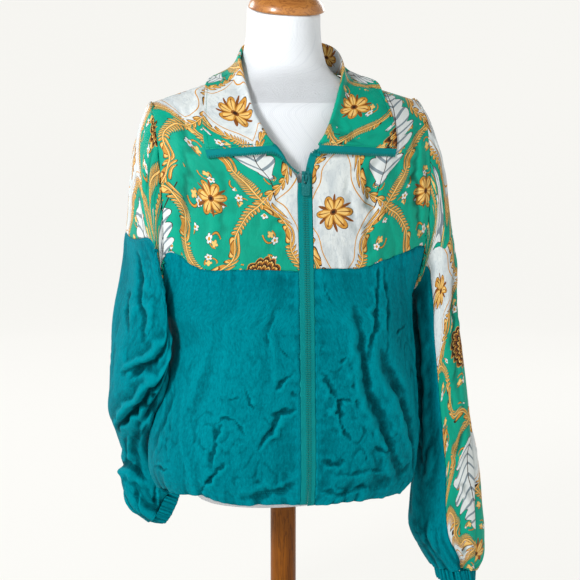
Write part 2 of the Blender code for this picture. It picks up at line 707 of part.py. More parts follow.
def lift_needed(point, face, clearance):
    """The move that brings a point this far off a face, none if it is clear.

    A point past the face's rim is left where it is."""
    near, normal, _, distance = face.find_nearest(Vector(point), REACH)
    if near is None:
        return np.zeros(3)
    height = (Vector(point) - near).dot(normal)
    past_rim = abs(height) < RIM_SHARE * distance and distance > clearance
    if height >= clearance or past_rim:
        return np.zeros(3)
    return np.array(normal * (clearance - height))


def lay_over(grid, layers):
    """Move a grid's points, edges and cells off what is under them.

    layers are (face, clearance, first row's share, last row's share)."""
    last = len(grid) - 1
    for face, clearance, first, final in layers:
        rows = range(round(first * last), round(final * last) + 1)
        for high, wide in ((1, 1), (1, 2), (2, 1), (2, 2)) * LAY_PASSES:
            for j in rows[:len(rows) - high + 1]:
                for i in range(grid.shape[1] - wide + 1):
                    patch = grid[j:j + high, i:i + wide]
                    patch += lift_needed(patch.mean(axis=(0, 1)), face, clearance)


def cloth(name, surface, columns, rows, finish, collection, outside, folds=None,
          sizes=(0.2, 0.33), round_u=False, wall=WALL, seams="", inset=BODY_INSET,
          layers=()):
    """A cloth panel: surface(u, v) on a grid, with folds, then given a wall.

    outside is a point that the panel's outer face looks away from."""
    steps = columns if round_u else columns + 1
    us = [i / columns for i in range(steps)]
    vs = [j / rows for j in range(rows + 1)]
    points = [[surface(u, v) for u in us] for v in vs]
    grid, normal = normals_of(points, round_u)
    middle = grid[rows // 2, columns // 2]
    facing = float(normal[rows // 2, columns // 2] @ (middle - np.array(outside)))
    sign = 1.0 if facing > 0 else -1.0
    for j, v in enumerate(vs):
        for i, u in enumerate(us):
            height = fold_height(folds, sizes, u, v)
            grid[j, i] += normal[j, i] * sign * height
    lay_over(grid, layers)
    inset_edges(grid, seams, inset)
    mesh = grid_mesh(name, grid, round_u, flip=sign < 0)
    thing = add_object(name, mesh, finish, collection)
    shell = thing.modifiers.new("wall", "SOLIDIFY")
    shell.thickness = wall
    shell.offset = -1
    shell.thickness_clamp = 0
    return thing


def closed_rings(name, rings, finish, collection):
    """A solid from closed rings stacked upward, capped at both ends."""
    sides = len(rings[0])
    vertices = [tuple(p) for ring in rings for p in ring]
    faces = []
    for j in range(len(rings) - 1):
        for i in range(sides):
            k = (i + 1) % sides
            faces.append([j * sides + i, j * sides + k,
                          (j + 1) * sides + k, (j + 1) * sides + i])
    faces.append(list(range(sides))[::-1])
    last = (len(rings) - 1) * sides
    faces.append(list(range(last, last + sides)))
    mesh = bpy.data.meshes.new(name)
    mesh.from_pydata(vertices, [], faces)
    mesh.validate()
    return add_object(name, mesh, finish, collection)


def turned(name, profile, finish, collection, sides=40):
    """A solid turned about Z from (radius, z) pairs, listed top to bottom."""
    mesh = bpy.data.meshes.new(name)
    points = [(radius, 0.0, z) for radius, z in profile]
    edges = [(i, i + 1) for i in range(len(points) - 1)]
    mesh.from_pydata(points, edges, [])
    thing = add_object(name, mesh, finish, collection)
    screw = thing.modifiers.new("turn", "SCREW")
    screw.steps = screw.render_steps = sides
    screw.use_merge_vertices = True
    screw.merge_threshold = 0.00001
    return thing


# ---- the dress form ----
def form_ring(z, sides):
    """A ring of the form; the neck's rings lean forward."""
    half_width, front, back = FORM.at(z)
    lean = form_lean(z)
    middle = (back - front) / 2
    ring = []
    for i in range(sides):
        angle = 2 * pi * i / sides
        x = half_width * cos(angle)
        y = (back if sin(angle) > 0 else front) * sin(angle)
        ring.append(Vector((x, y, z + lean * (y - middle))))
    return ring


def form_heights():
    """Ring heights, closer together over the shoulders."""
    low = np.linspace(FORM_BOTTOM, 0.84, FORM_RINGS // 2)
    shoulder = [0.858, 0.874, 0.886, 0.8975, 0.9085, 0.920, 0.932]
    neck = np.linspace(0.948, NECK_TOP, 4)
    return [*low, *shoulder, *neck]


def make_form(collection, finishes):
    """Torso, neck cap, pole and base."""
    rings = [form_ring(z, FORM_SIDES) for z in form_heights()]
    torso = closed_rings("form_torso", rings, finishes["jersey"], collection)

    _, front, back = FORM.at(NECK_TOP)
    cap_profile = [(0.0, CAP_RISE), (0.020, CAP_RISE * 0.95),
                   (0.036, CAP_RISE * 0.78), (0.048, CAP_RISE * 0.48),
                   (0.054, CAP_RISE * 0.20), (CAP_RADIUS, 0.003),
                   (CAP_RADIUS - 0.001, 0.0), (0.0, 0.0)]
    cap = turned("form_neck_cap", cap_profile, finishes["wood"], collection, 24)
    tilt = Matrix.Rotation(NECK_TILT, 4, "X")
    centre = Vector((0.0, (back - front) / 2, NECK_TOP))
    above = tilt @ Vector((0, 0, REST_GAP))
    cap.matrix_world = Matrix.Translation(centre + above) @ tilt

    pole_top = FORM_BOTTOM - REST_GAP
    pole_profile = [(0.0, pole_top), (POLE_RADIUS, pole_top),
                    (POLE_RADIUS, BASE_HEIGHT + REST_GAP),
                    (0.0, BASE_HEIGHT + REST_GAP)]
    turned("form_pole", pole_profile, finishes["dark_wood"], collection, 32)

    base_profile = [(0.0, BASE_HEIGHT), (0.060, BASE_HEIGHT),
                    (BASE_RADIUS - 0.012, BASE_HEIGHT - 0.004),
                    (BASE_RADIUS - 0.003, BASE_HEIGHT - 0.009),
                    (BASE_RADIUS, BASE_HEIGHT - 0.014),
                    (BASE_RADIUS, 0.003), (BASE_RADIUS - 0.003, 0.0), (0.0, 0.0)]
    turned("form_base", base_profile, finishes["dark_wood"], collection, 36)
    return outer_face(torso)


# ---- the jacket ----
def make_fronts(collection, finishes, form):
    """Lower fronts and front yokes on both sides."""
    made = []
    for side, word in ((-1, "right"), (1, "left")):
        folds = FOLDS_FRONT_RIGHT if side < 0 else FOLDS_FRONT_LEFT

        def lower(u, v, side=side):
            return lower_front(side, u, v)

        def upper(u, v, side=side):
            return upper_front(side, u, v)

        made.append(cloth(f"front_{word}", lower, 12, 16, finishes["teal"], collection,
                          (0, 0, 0.5), folds, (0.25, 0.35), seams="rt"))
        made.append(cloth(f"yoke_front_{word}", upper, 12, 16, finishes["print"],
                          collection, (0, 0, 0.75), seams="rbt", inset=SLEEVE_INSET,
                          layers=[(form, WALL + CLOTH_REST, 0, 1)]))
    return made


def make_back(collection, finishes, form):
    """Lower back and back yoke."""
    def lower(u, v):
        return lower_back(2 * u - 1, v)

    def upper(u, v):
        return upper_back(2 * u - 1, v)

    return [cloth("back", lower, 20, 16, finishes["teal"], collection, (0, 0, 0.5),
                  FOLDS_BACK, (0.25, 0.36), seams="lrt"),
            cloth("yoke_back", upper, 20, 16, finishes["print"], collection,
                  (0, 0, 0.75), seams="lrbt", inset=SLEEVE_INSET,
                  layers=[(form, BACK_YOKE_REST, 0, 1)])]


def sleeve_core(side, w):
    """A point inside the sleeve."""
    return (sleeve_ring(side, w, 0) + sleeve_ring(side, w, 180)) / 2


def make_sleeves(collection, finishes, body):
    """Sleeve heads, the plain right sleeve, and the left sleeve's three panels."""
    beside_body = [(body, 2 * CLOTH_REST, 0, 1)]
    for side, word in ((-1, "right"), (1, "left")):
        def head(u, v, side=side):
            angle = -180 + 360 * u
            return sleeve_point(side, head_end(side, angle) * v, angle)

        cloth(f"sleeve_{word}_top", head, SLEEVE_COLUMNS, 5, finishes["print"], collection,
              tuple(sleeve_core(side, 0.12)), seams="lrt", inset=SLEEVE_INSET,
              layers=beside_body)

    def below(side, angle, v):
        start = head_end(side, angle)
        return sleeve_point(side, start + (1 - start) * v, angle)

    def right(u, v):
        return below(-1, -180 + 360 * u, v)

    cloth("sleeve_right", right, SLEEVE_COLUMNS, 16, finishes["teal"], collection,
          tuple(sleeve_core(-1, 0.63)), FOLDS_SLEEVE_RIGHT, (0.36, 0.5), seams="lrb",
          inset=SLEEVE_INSET, layers=beside_body)

    panels = (("sleeve_left_outer_front", 1, 0, 8, "print"),
              ("sleeve_left_outer_back", 2, 1, 9, "print"),
              ("sleeve_left_inner", 0, 2, 7, "teal"))
    for name, first, last, columns, finish in panels:
        def panel(u, v, first=first, last=last):
            bounds = LEFT_PANELS.at(v)
            low, high = bounds[first], bounds[last]
            high = high + 360 if high < low else high
            return below(1, low + (high - low) * u, v)

        cloth(name, panel, columns, 16, finishes[finish], collection,
              tuple(sleeve_core(1, 0.63)), seams="lrb", inset=SLEEVE_INSET,
              layers=beside_body)


def make_cuffs(collection, finishes):
    """Elastic cuffs, each a short tube beyond its sleeve's last ring."""
    for side, word in ((-1, "right"), (1, "left")):
        turns = [360 * i / CUFF_COLUMNS for i in range(CUFF_COLUMNS)]
        ring = [sleeve_ring(side, 1.0, angle) for angle in turns]
        before = [sleeve_ring(side, CUFF_AXIS_W, angle) for angle in turns]
        centre = sum(ring, Vector()) / len(ring)
        axis = (centre - sum(before, Vector()) / len(before)).normalized()
        if side < 0:
            axis = RIGHT_CUFF_AXIS.normalized()

        def tube(u, v, ring=ring, centre=centre, axis=axis):
            point = ring[round(u * CUFF_COLUMNS) % CUFF_COLUMNS]
            start = centre + (point - centre) * (CUFF_SNUG - CUFF_TAPER * v)
            return start + axis * (CUFF_STITCH_GAP + CUFF_LENGTH * v)

        cloth(f"cuff_{word}", tube, CUFF_COLUMNS, 1, finishes["teal"], collection,
              tuple(centre + axis * 0.01), round_u=True)


def make_collar(collection, finishes, form, yokes):
    """The collar, stand and fall in one sheet."""
    rows = len(COLLAR_LEVELS) - 1

    def surface(u, v):
        return collar_point(u, COLLAR_LEVELS[round(v * rows)])

    return cloth("collar", surface, COLLAR_COLUMNS, rows, finishes["print"], collection,
                 (0, 0, 0.90), layers=[(form, CLOTH_REST, 0, 0.5),
                                       (yokes, STAND_REST, 0, 0.5),
                                       (yokes, FALL_REST, 0.5, 1)])


def open_run(collar, side):
    """Rows of (teeth point, inner point) along a turned-out run of the zip."""
    columns = COLLAR_COLUMNS + 1
    first = 0 if side < 0 else columns - 1
    start = COLLAR_LEVELS.index(ROLL_END)
    fall = [collar.data.vertices[row * columns + first].co
            for row in range(start, len(COLLAR_LEVELS))]
    rows = []
    if side < 0:
        for n in range(3):
            x, y, z, inner_x, inner_y, inner_z = LAPEL_RIGHT.at(n)
            rows.append((Vector((x, y, z)), Vector((inner_x, inner_y, inner_z))))
    for n, point in enumerate(fall):
        corner = TAPE_CORNER if n == len(fall) - 1 else 0.0
        inner = point + Vector((0, 0, -COLLAR_TAPE_GAP))
        teeth = inner + Vector((-side * corner, 0, -TAPE_WIDTH))
        rows.append((teeth, inner))
    return rows


def make_zip(collection, finishes, collar, yokes):
    """Zip tapes: a closed run up to the slider, and the turned-out runs."""
    for side, word in ((-1, "right"), (1, "left")):
        top_v = TAPE_TOP_RIGHT if side < 0 else TAPE_TOP_LEFT

        def front_edge(v, side=side, top_v=top_v):
            if v < TAPE_LOW_SHARE:
                return lower_front(side, 0.0, v / TAPE_LOW_SHARE)
            rest = (v - TAPE_LOW_SHARE) / (1 - TAPE_LOW_SHARE)
            return upper_front(side, 0.0, top_v * rest)

        def closed(u, v, side=side, front_edge=front_edge):
            edge = front_edge(v)
            ahead = front_edge(min(v + STATION_STEP, 1.0))
            ahead -= front_edge(max(v - STATION_STEP, 0.0))
            across = Vector((-side * ahead.z, 0, side * ahead.x)).normalized()
            start = edge + across * TAPE_SEAM
            end = start + across * (TAPE_WIDTH - SEAM * 0.5)
            past = side * end.x - TEETH_GAP / 2
            if past < 0:
                end.x = side * TEETH_GAP / 2
            return start.lerp(end, u)

        cloth(f"zip_tape_{word}", closed, 2, 28, finishes["tape"], collection,
              (0, 0, 0.6), wall=TAPE_WALL)

    for side, word in ((-1, "right"), (1, "left")):
        rows = open_run(collar, side)
        run = Table("n x y z inner_x inner_y inner_z",
                    [(n, *teeth, *inner) for n, (teeth, inner) in enumerate(rows)])

        def opened(u, v, run=run, last=len(rows) - 1):
            values = run.at(v * last)
            return Vector(values[:3]).lerp(Vector(values[3:]), u)

        cloth(f"zip_tape_{word}_open", opened, 2, len(rows) - 1, finishes["tape"],
              collection, (0, 0.1, 0.8), wall=TAPE_WALL,
              layers=[(yokes, TAPE_WALL + CLOTH_REST, 0, 1)])


def make_slider(collection, finish):
    """The slider: a tapered plate over the teeth, with a bridge on its face."""
    mesh = bpy.data.meshes.new("zip_slider")
    shape = bmesh.new()
    bmesh.ops.create_cube(shape, size=1.0)
    middle_z = SLIDER_TOP_Z - SLIDER_LENGTH / 2
    middle_y = SLIDER_FACE_Y + SLIDER_THICKNESS / 2
    for vertex in shape.verts:
        width = SLIDER_TOP_WIDTH if vertex.co.z > 0 else SLIDER_BOTTOM_WIDTH
        vertex.co.x *= width
        vertex.co.y = middle_y + vertex.co.y * SLIDER_THICKNESS
        vertex.co.z = middle_z + vertex.co.z * SLIDER_LENGTH
    upright = [edge for edge in shape.edges
               if abs(edge.verts[0].co.y - edge.verts[1].co.y) > SLIDER_THICKNESS / 2]
    bmesh.ops.bevel(shape, geom=upright, offset=SLIDER_CORNER, segments=3, affect="EDGES",
                    profile=0.5)
    shape.to_mesh(mesh)
    shape.free()
    slider = add_object("zip_slider", mesh, finish, collection)

    rings = []
    foot_y = SLIDER_FACE_Y + BRIDGE_SINK
    for i in range(BRIDGE_STEPS + 1):
        angle = pi * i / BRIDGE_STEPS
        ring = []
        for x, wall in ((-1, 0), (1, 0), (1, 1), (-1, 1)):
            length = BRIDGE_HALF_LENGTH - BRIDGE_WALL * wall
            height = BRIDGE_HEIGHT - BRIDGE_WALL * wall
            ring.append(Vector((x * BRIDGE_WIDTH / 2,
                                foot_y - (height + BRIDGE_SINK) * sin(angle),
                                middle_z - length * cos(angle))))
        rings.append(ring)
    bridge = closed_rings("zip_slider_bridge", rings, finish, collection)
    union = slider.modifiers.new("bridge", "BOOLEAN")
    union.operation = "UNION"
    union.object = bridge
    hide_cutter(bridge, collection)


def hide_cutter(thing, collection):
    """Move a helper solid out of the model's collection and out of the render."""
    helpers = bpy.data.collections.get("helpers")
    if helpers is None:
        helpers = bpy.data.collections.new("helpers")
        bpy.context.scene.collection.children.link(helpers)
    collection.objects.unlink(thing)
    helpers.objects.link(thing)
    thing.hide_render = True
    thing.display_type = "WIRE"


def rounded_loop(width, top, bottom, rounding):
    """A loop in XZ between two heights; the less the rounding, the squarer it is."""
    loop = []
    for i in range(PULL_SIDES):
        angle = 2 * pi * (i + 0.5) / PULL_SIDES
        c, s = cos(angle), sin(angle)
        x = width / 2 * abs(c)**rounding * (1 if c > 0 else -1)
        z = (top + bottom) / 2 + (top - bottom) / 2 * abs(s)**rounding * (1 if s > 0 else -1)
        loop.append((x, 0, z))
    return loop


def make_pull(collection, finish):
    """The pull tab: a rounded plate with an oval eye, hung in the bridge."""
    top = PULL_BAR / 2
    plate = rounded_loop(PULL_WIDTH, top, -PULL_LENGTH, PULL_ROUNDING)
    eye_top = top - PULL_BAR
    eye = rounded_loop(EYE_WIDTH, eye_top, eye_top - EYE_LENGTH, EYE_ROUNDING)
    rows = [plate, eye]
    mesh = grid_mesh("zip_pull", np.array(rows), round_u=True)
    pull = add_object("zip_pull", mesh, finish, collection)
    pull.location = (0, SLIDER_FACE_Y - PULL_AXIS_OUT,
                     SLIDER_TOP_Z - SLIDER_LENGTH / 2 + PULL_AXIS_UP)
    plate = pull.modifiers.new("plate", "SOLIDIFY")
    plate.thickness = PULL_BAR
    plate.offset = 0


def main():
    """Build every piece into one collection."""
    clear_scene()
    collection = bpy.data.collections.new("windbreaker_on_dress_form")
    bpy.context.scene.collection.children.link(collection)
    finishes = {
        "teal": material("teal_cloth", (0.004, 0.25, 0.29), 0.5),
        "print": material("printed_cloth", (0.05, 0.45, 0.33), 0.5),
        "tape": material("zip_tape", (0.004, 0.28, 0.22), 0.6),
        "jersey": material("form_jersey", (0.78, 0.80, 0.83), 0.9),
        "wood": material("cap_wood", (0.35, 0.15, 0.05), 0.35),
        "dark_wood": material("pole_wood", (0.16, 0.05, 0.012), 0.35),
        "metal": material("slider_metal", (0.45, 0.70, 0.68), 0.3, 0.8),
    }
    form = make_form(collection, finishes)
    panels = make_fronts(collection, finishes, form)
    panels += make_back(collection, finishes, form)
    make_sleeves(collection, finishes, outer_face(*panels))
    make_cuffs(collection, finishes)
    yokes = outer_face(*[panel for panel in panels if panel.name.startswith("yoke")])
    collar = make_collar(collection, finishes, form, yokes)
    make_zip(collection, finishes, collar, yokes)
    make_slider(collection, finishes["metal"])
    make_pull(collection, finishes["metal"])


main()
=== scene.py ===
"""Looks of a windbreaker worn by a limbless dress form.

The jacket is a set of cut cloth panels. Each one is a smooth surface that a few
tables describe, sampled every one to three millimetres, creased by listed folds
and dressed in crinkled nylon, plain or printed. The zip with its teeth, the
sewing, the sleeves with their cuffs, the dress form and the studio have classes of
their own. Metres throughout: +Z is up, -Y the wearer's front, +X the wearer's left.
"""
import logging
from dataclasses import dataclass, field
from enum import Enum
from math import cos, exp, pi, radians, sin, tan
from typing import Callable, Iterable, Optional, Sequence

import bmesh
import bpy
import numpy as np
from mathutils import Matrix, Vector, noise
from mathutils.bvhtree import BVHTree


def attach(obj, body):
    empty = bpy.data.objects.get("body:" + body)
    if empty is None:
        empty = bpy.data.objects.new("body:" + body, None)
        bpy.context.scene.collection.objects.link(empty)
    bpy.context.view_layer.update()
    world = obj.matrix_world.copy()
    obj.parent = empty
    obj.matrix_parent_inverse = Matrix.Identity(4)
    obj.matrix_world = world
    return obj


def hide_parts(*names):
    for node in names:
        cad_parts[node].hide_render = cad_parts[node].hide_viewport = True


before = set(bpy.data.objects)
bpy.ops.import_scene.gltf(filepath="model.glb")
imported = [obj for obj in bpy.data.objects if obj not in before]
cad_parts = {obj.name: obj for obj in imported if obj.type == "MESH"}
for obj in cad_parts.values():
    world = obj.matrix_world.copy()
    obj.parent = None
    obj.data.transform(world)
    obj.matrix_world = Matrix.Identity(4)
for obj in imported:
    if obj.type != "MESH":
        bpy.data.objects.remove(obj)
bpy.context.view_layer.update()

LOG = logging.getLogger("windbreaker")

JACKET_BODY = "form_and_jacket"
PULL_BODY = "pull_tab"
END_STATIONS = (0.0, 0.0009, 0.0019, 0.0032)
Surface = Callable[[float, float], Vector]
Colour = tuple[float, float, float]


def linear(red: int, green: int, blue: int) -> Colour:
    """A screen colour, 0 to 255 a channel, as linear light.

    Args:
        red, green, blue: the screen values.

    Returns:
        The three linear values.
    """
    def channel(value: int) -> float:
        """One channel."""
        share = value / 255
        return share / 12.92 if share <= 0.04045 else ((share + 0.055) / 1.055) ** 2.4
    return channel(red), channel(green), channel(blue)


class Side(Enum):
    """The wearer's side."""
    RIGHT = -1
    LEFT = 1

    @property
    def word(self) -> str:
        """The side's name in a piece's name."""
        return self.name.lower()


class Edge(Enum):
    """An edge of a panel's grid."""
    START = "l"
    END = "r"
    BOTTOM = "b"
    TOP = "t"


# ---------------------------------------------------------------- shared arithmetic

def smooth_between(low: np.ndarray, high: np.ndarray, rise_low: np.ndarray,
                   rise_high: np.ndarray, t: "float | np.ndarray") -> np.ndarray:
    """A smooth value between two rows.

    Args:
        low, high: the rows.
        rise_low, rise_high: their slopes over the step.
        t: the share of the step.

    Returns:
        The value.
    """
    return ((2 * t**3 - 3 * t**2 + 1) * low + (t**3 - 2 * t**2 + t) * rise_low
            + (3 * t**2 - 2 * t**3) * high + (t**3 - t**2) * rise_high)


def squared(value: float, power: float) -> float:
    """A sine or cosine, keeping its sign; a power under 1 squares the round off."""
    return abs(value) ** power * (1 if value > 0 else -1)


def circle(radius: float, z: float, sides: int) -> list[Vector]:
    """A level ring of points round the axis."""
    return [Vector((radius * cos(2 * pi * i / sides), radius * sin(2 * pi * i / sides),
                    z)) for i in range(sides)]


def quads_between(a: int, b: int, sides: int) -> list[tuple[int, int, int, int]]:
    """Quads between two rings of points, given the number of each one's first."""
    return [(a + i, a + (i + 1) % sides, b + (i + 1) % sides, b + i)
            for i in range(sides)]


def lofted(start: int, rings: int, sides: int,
           flip: bool = False) -> list[tuple[int, ...]]:
    """Faces of a solid of rings, its two ends included.

    Args:
        start: the number of the first ring's first point.
        rings: how many rings it has.
        sides: how many points a ring has.
        flip: whether the faces are turned round.

    Returns:
        The faces, as point numbers.
    """
    faces = []
    for ring in range(start, start + (rings - 1) * sides, sides):
        faces += quads_between(ring, ring + sides, sides)
    if flip:
        faces = [(second, first, fourth, third)
                 for first, second, third, fourth in faces]
    first = tuple(start + i for i in range(sides))
    last = tuple(start + (rings - 1) * sides + i for i in range(sides))
    return faces + ([first, last[::-1]] if flip else [first[::-1], last])


def linked(name: str, data: bpy.types.ID) -> bpy.types.Object:
    """A new object of this data, in the scene.

    Args:
        name: its name.
        data: its mesh, camera or light.

    Returns:
        The object.
    """
    thing = bpy.data.objects.new(name, data)
    bpy.context.scene.collection.objects.link(thing)
    return thing


# ---------------------------------------------------------------- the cut

class SmoothTable:
    """Rows of named columns, with a smooth value between the rows."""

    def __init__(self, columns: str, rows: Sequence[Sequence[float]]) -> None:
        """Keep the rows and their slopes.

        Args:
            columns: the columns' names, parted by spaces, the key first.
            rows: the rows, by rising key.
        """
        self.names = columns.split()
        self.rows = np.array(rows, float)
        self.slopes = np.gradient(self.rows, self.rows[:, 0], axis=0)

    def at(self, key: float) -> np.ndarray:
        """The columns after the key.

        Args:
            key: where to read, held inside the table.

        Returns:
            One value for each column.
        """
        keys = self.rows[:, 0]
        key = min(max(key, keys[0]), keys[-1])
        i = min(max(int(np.searchsorted(keys, key)) - 1, 0), len(keys) - 2)
        step = keys[i + 1] - keys[i]
        t = (key - keys[i]) / step
        return smooth_between(self.rows[i], self.rows[i + 1], self.slopes[i] * step,
                              self.slopes[i + 1] * step, t)[1:]


def arc_row(start: Vector, end: Vector, turn: float, u: float,
            power: float = 1.0) -> Vector:
    """A point of a level row that swings round the body.

    Args:
        start, end: the row's ends.
        turn: how far it swings, in degrees.
        u: the share along it.
        power: under 1 squares the row off a little.

    Returns:
        The point.
    """
    swing = radians(turn)
    angle = swing * u
    across = sin(angle) ** power / sin(swing) ** power
    away = (1 - cos(angle) ** power) / (1 - cos(swing) ** power)
    return Vector((start.x + (end.x - start.x) * across,
                   start.y + (end.y - start.y) * away,
                   start.z + (end.z - start.z) * u))


@dataclass(frozen=True)
class JacketCut:
    """The jacket's surfaces: body, yokes, sleeves and collar, with no creases."""
    hem_z: float = 0.306
    hem_rise_front: float = 0.010
    hem_rise_back: float = 0.004
    hem_rise_right: float = 0.014
    underarm_z: float = 0.605
    underarm_share: float = 0.75
    yoke_angle: float = 120.0
    body_power: float = 0.86
    sleeve_power: float = 0.92
    sleeve_start: float = 0.0008
    head_end_right: float = 0.26
    head_end_left: float = 0.245
    head_end_under: float = 0.06
    head_end_turn: float = 87.0
    head_end_span: float = 46.0
    back_neck_share: float = 0.42
    collar_neck_v: float = 0.50
    neck_station: float = 0.38
    collar_lift: float = 0.0012
    roll_radius: float = 0.0028
    stand_end: float = 0.30
    roll_end: float = 0.46
    sleeve_round_end: float = 0.2
    sleeve_look_ahead: float = 0.06
    underarm_blend: float = 0.03

    BODY = SmoothTable("z right left front back", [
        (0.306, 0.172, 0.184, 0.128, 0.108),
        (0.315, 0.187, 0.195, 0.1345, 0.118),
        (0.335, 0.2005, 0.203, 0.1395, 0.126),
        (0.370, 0.2065, 0.207, 0.1425, 0.129),
        (0.410, 0.200, 0.206, 0.142, 0.127),
        (0.450, 0.189, 0.2045, 0.140, 0.124),
        (0.510, 0.1775, 0.201, 0.138, 0.120),
        (0.560, 0.1735, 0.197, 0.136, 0.118),
        (0.605, 0.180, 0.193, 0.1335, 0.118),
        (0.660, 0.187, 0.195, 0.1300, 0.118),
        (0.720, 0.192, 0.197, 0.1245, 0.117),
        (0.785, 0.196, 0.199, 0.1188, 0.113),
    ])
    YOKE_RIGHT = SmoothTable("v x y z turn", [
        (0.000, 0.0108, -0.1303, 0.6555, 64),
        (0.150, 0.0108, -0.1258, 0.706, 57),
        (0.275, 0.0108, -0.1210, 0.757, 50),
        (0.350, 0.0114, -0.1192, 0.783, 46),
        (0.417, 0.0290, -0.1180, 0.806, 42),
        (0.492, 0.0465, -0.1150, 0.826, 38),
        (0.583, 0.0600, -0.1030, 0.850, 34),
        (0.692, 0.0695, -0.0850, 0.875, 31),
        (0.817, 0.0765, -0.0600, 0.902, 28),
        (0.925, 0.0805, -0.0330, 0.921, 26),
        (1.000, 0.0830, -0.0100, 0.926, 25),
    ])
    YOKE_LEFT = SmoothTable("v x y z turn", [
        (0.000, 0.0108, -0.1303, 0.6555, 64),
        (0.150, 0.0108, -0.1258, 0.706, 57),
        (0.275, 0.0108, -0.1210, 0.757, 50),
        (0.350, 0.0112, -0.1192, 0.783, 46),
        (0.417, 0.0165, -0.1178, 0.806, 42),
        (0.492, 0.0270, -0.1145, 0.828, 38),
        (0.583, 0.0390, -0.1030, 0.851, 34),
        (0.692, 0.0530, -0.0850, 0.876, 31),
        (0.817, 0.0700, -0.0600, 0.902, 28),
        (0.925, 0.0825, -0.0330, 0.920, 26),
        (1.000, 0.0900, -0.0100, 0.924, 25),
    ])
    # how far the chest seam lies under its level rows, from the zip outward
    CHEST_DROP_RIGHT = SmoothTable("u drop", [
        (0.00, 0.0033), (0.20, 0.0042), (0.40, 0.0075), (0.50, 0.0102), (0.60, 0.0120),
        (0.68, 0.0104), (0.75, 0.0052), (0.82, -0.0026), (0.88, -0.0054),
        (0.95, -0.0036), (1.00, 0.0),
    ])
    CHEST_DROP_LEFT = SmoothTable("u drop", [
        (0.00, 0.0), (0.10, 0.0026), (0.20, 0.0056), (0.30, 0.0082), (0.36, 0.0078),
        (0.45, 0.0042), (0.60, 0.0), (0.75, -0.0036), (0.88, -0.0052),
        (0.95, -0.0034), (1.00, 0.0),
    ])
    # how far the right front's hem lifts over its level row
    HEM_LIFT_RIGHT = SmoothTable("u lift", [
        (0.00, 0.0020), (0.10, 0.0044), (0.25, 0.0036), (0.35, 0.0062), (0.42, 0.0104),
        (0.50, 0.0136), (0.58, 0.0122), (0.66, 0.0092), (0.80, 0.0084), (0.90, 0.0062),
        (0.95, 0.0036), (1.00, 0.0),
    ])
    YOKE_BACK = SmoothTable("v z depth turn", [
        (0.000, 0.668, 0.1200, 66),
        (0.250, 0.745, 0.1180, 62),
        (0.483, 0.830, 0.1090, 55),
        (0.683, 0.885, 0.0930, 46),
        (0.858, 0.922, 0.0740, 36),
        (1.000, 0.942, 0.0580, 30),
    ])
    SLEEVE_COLUMNS = "w outer_x outer_z inner_x inner_z y depth raise swing"
    SLEEVE_RIGHT = SmoothTable(SLEEVE_COLUMNS, [
        (0.00, 0.2000, 0.885, 0.1900, 0.605, -0.005, 0.080, 0.000, 0.000),
        (0.06, 0.2130, 0.853, 0.1965, 0.603, -0.006, 0.080, 0.014, 0.000),
        (0.14, 0.2215, 0.785, 0.1990, 0.594, -0.005, 0.078, 0.032, 0.002),
        (0.25, 0.2250, 0.700, 0.1985, 0.578, -0.003, 0.075, 0.044, 0.008),
        (0.33, 0.2265, 0.640, 0.1950, 0.555, -0.002, 0.072, 0.030, 0.018),
        (0.41, 0.2365, 0.585, 0.1900, 0.522, 0.002, 0.069, 0.014, 0.022),
        (0.50, 0.2460, 0.525, 0.1860, 0.485, 0.012, 0.065, 0.004, 0.020),
        (0.58, 0.2515, 0.470, 0.1890, 0.442, 0.034, 0.059, 0.000, 0.014),
        (0.65, 0.2540, 0.425, 0.1930, 0.402, 0.064, 0.050, 0.000, 0.006),
        (0.72, 0.2410, 0.383, 0.1890, 0.364, 0.098, 0.044, 0.000, 0.000),
        (0.80, 0.2300, 0.338, 0.1720, 0.324, 0.116, 0.041, 0.000, 0.000),
        (0.87, 0.2315, 0.297, 0.1560, 0.302, 0.118, 0.040, 0.000, 0.000),
        (0.93, 0.2200, 0.262, 0.1560, 0.297, 0.114, 0.037, 0.000, 0.000),
        (1.00, 0.1920, 0.236, 0.1620, 0.294, 0.108, 0.029, 0.000, 0.000),
    ])
    SLEEVE_LEFT = SmoothTable(SLEEVE_COLUMNS, [
        (0.00, 0.2060, 0.892, 0.1950, 0.605, -0.005, 0.080, 0.000, 0.000),
        (0.06, 0.2230, 0.858, 0.2015, 0.603, -0.004, 0.080, 0.014, 0.000),
        (0.14, 0.2400, 0.775, 0.2050, 0.593, -0.002, 0.079, 0.032, 0.000),
        (0.23, 0.2550, 0.700, 0.2060, 0.574, 0.000, 0.077, 0.044, 0.002),
        (0.31, 0.2650, 0.645, 0.2080, 0.552, 0.000, 0.074, 0.030, 0.002),
        (0.39, 0.2680, 0.585, 0.2090, 0.520, 0.000, 0.071, 0.014, 0.002),
        (0.48, 0.2785, 0.520, 0.2095, 0.480, 0.000, 0.068, 0.004, 0.000),
        (0.57, 0.2900, 0.455, 0.2115, 0.430, 0.000, 0.065, 0.000, 0.000),
        (0.66, 0.3010, 0.385, 0.2145, 0.375, 0.000, 0.062, 0.000, 0.000),
        (0.74, 0.3140, 0.325, 0.2150, 0.320, 0.000, 0.059, 0.000, 0.000),
        (0.82, 0.3225, 0.270, 0.2090, 0.268, 0.000, 0.056, 0.000, 0.000),
        (0.89, 0.3285, 0.220, 0.2110, 0.222, 0.000, 0.053, 0.000, 0.000),
        (0.95, 0.3260, 0.180, 0.2330, 0.185, 0.000, 0.047, 0.000, 0.000),
        (1.00, 0.3160, 0.158, 0.2500, 0.160, 0.000, 0.037, 0.000, 0.000),
    ])
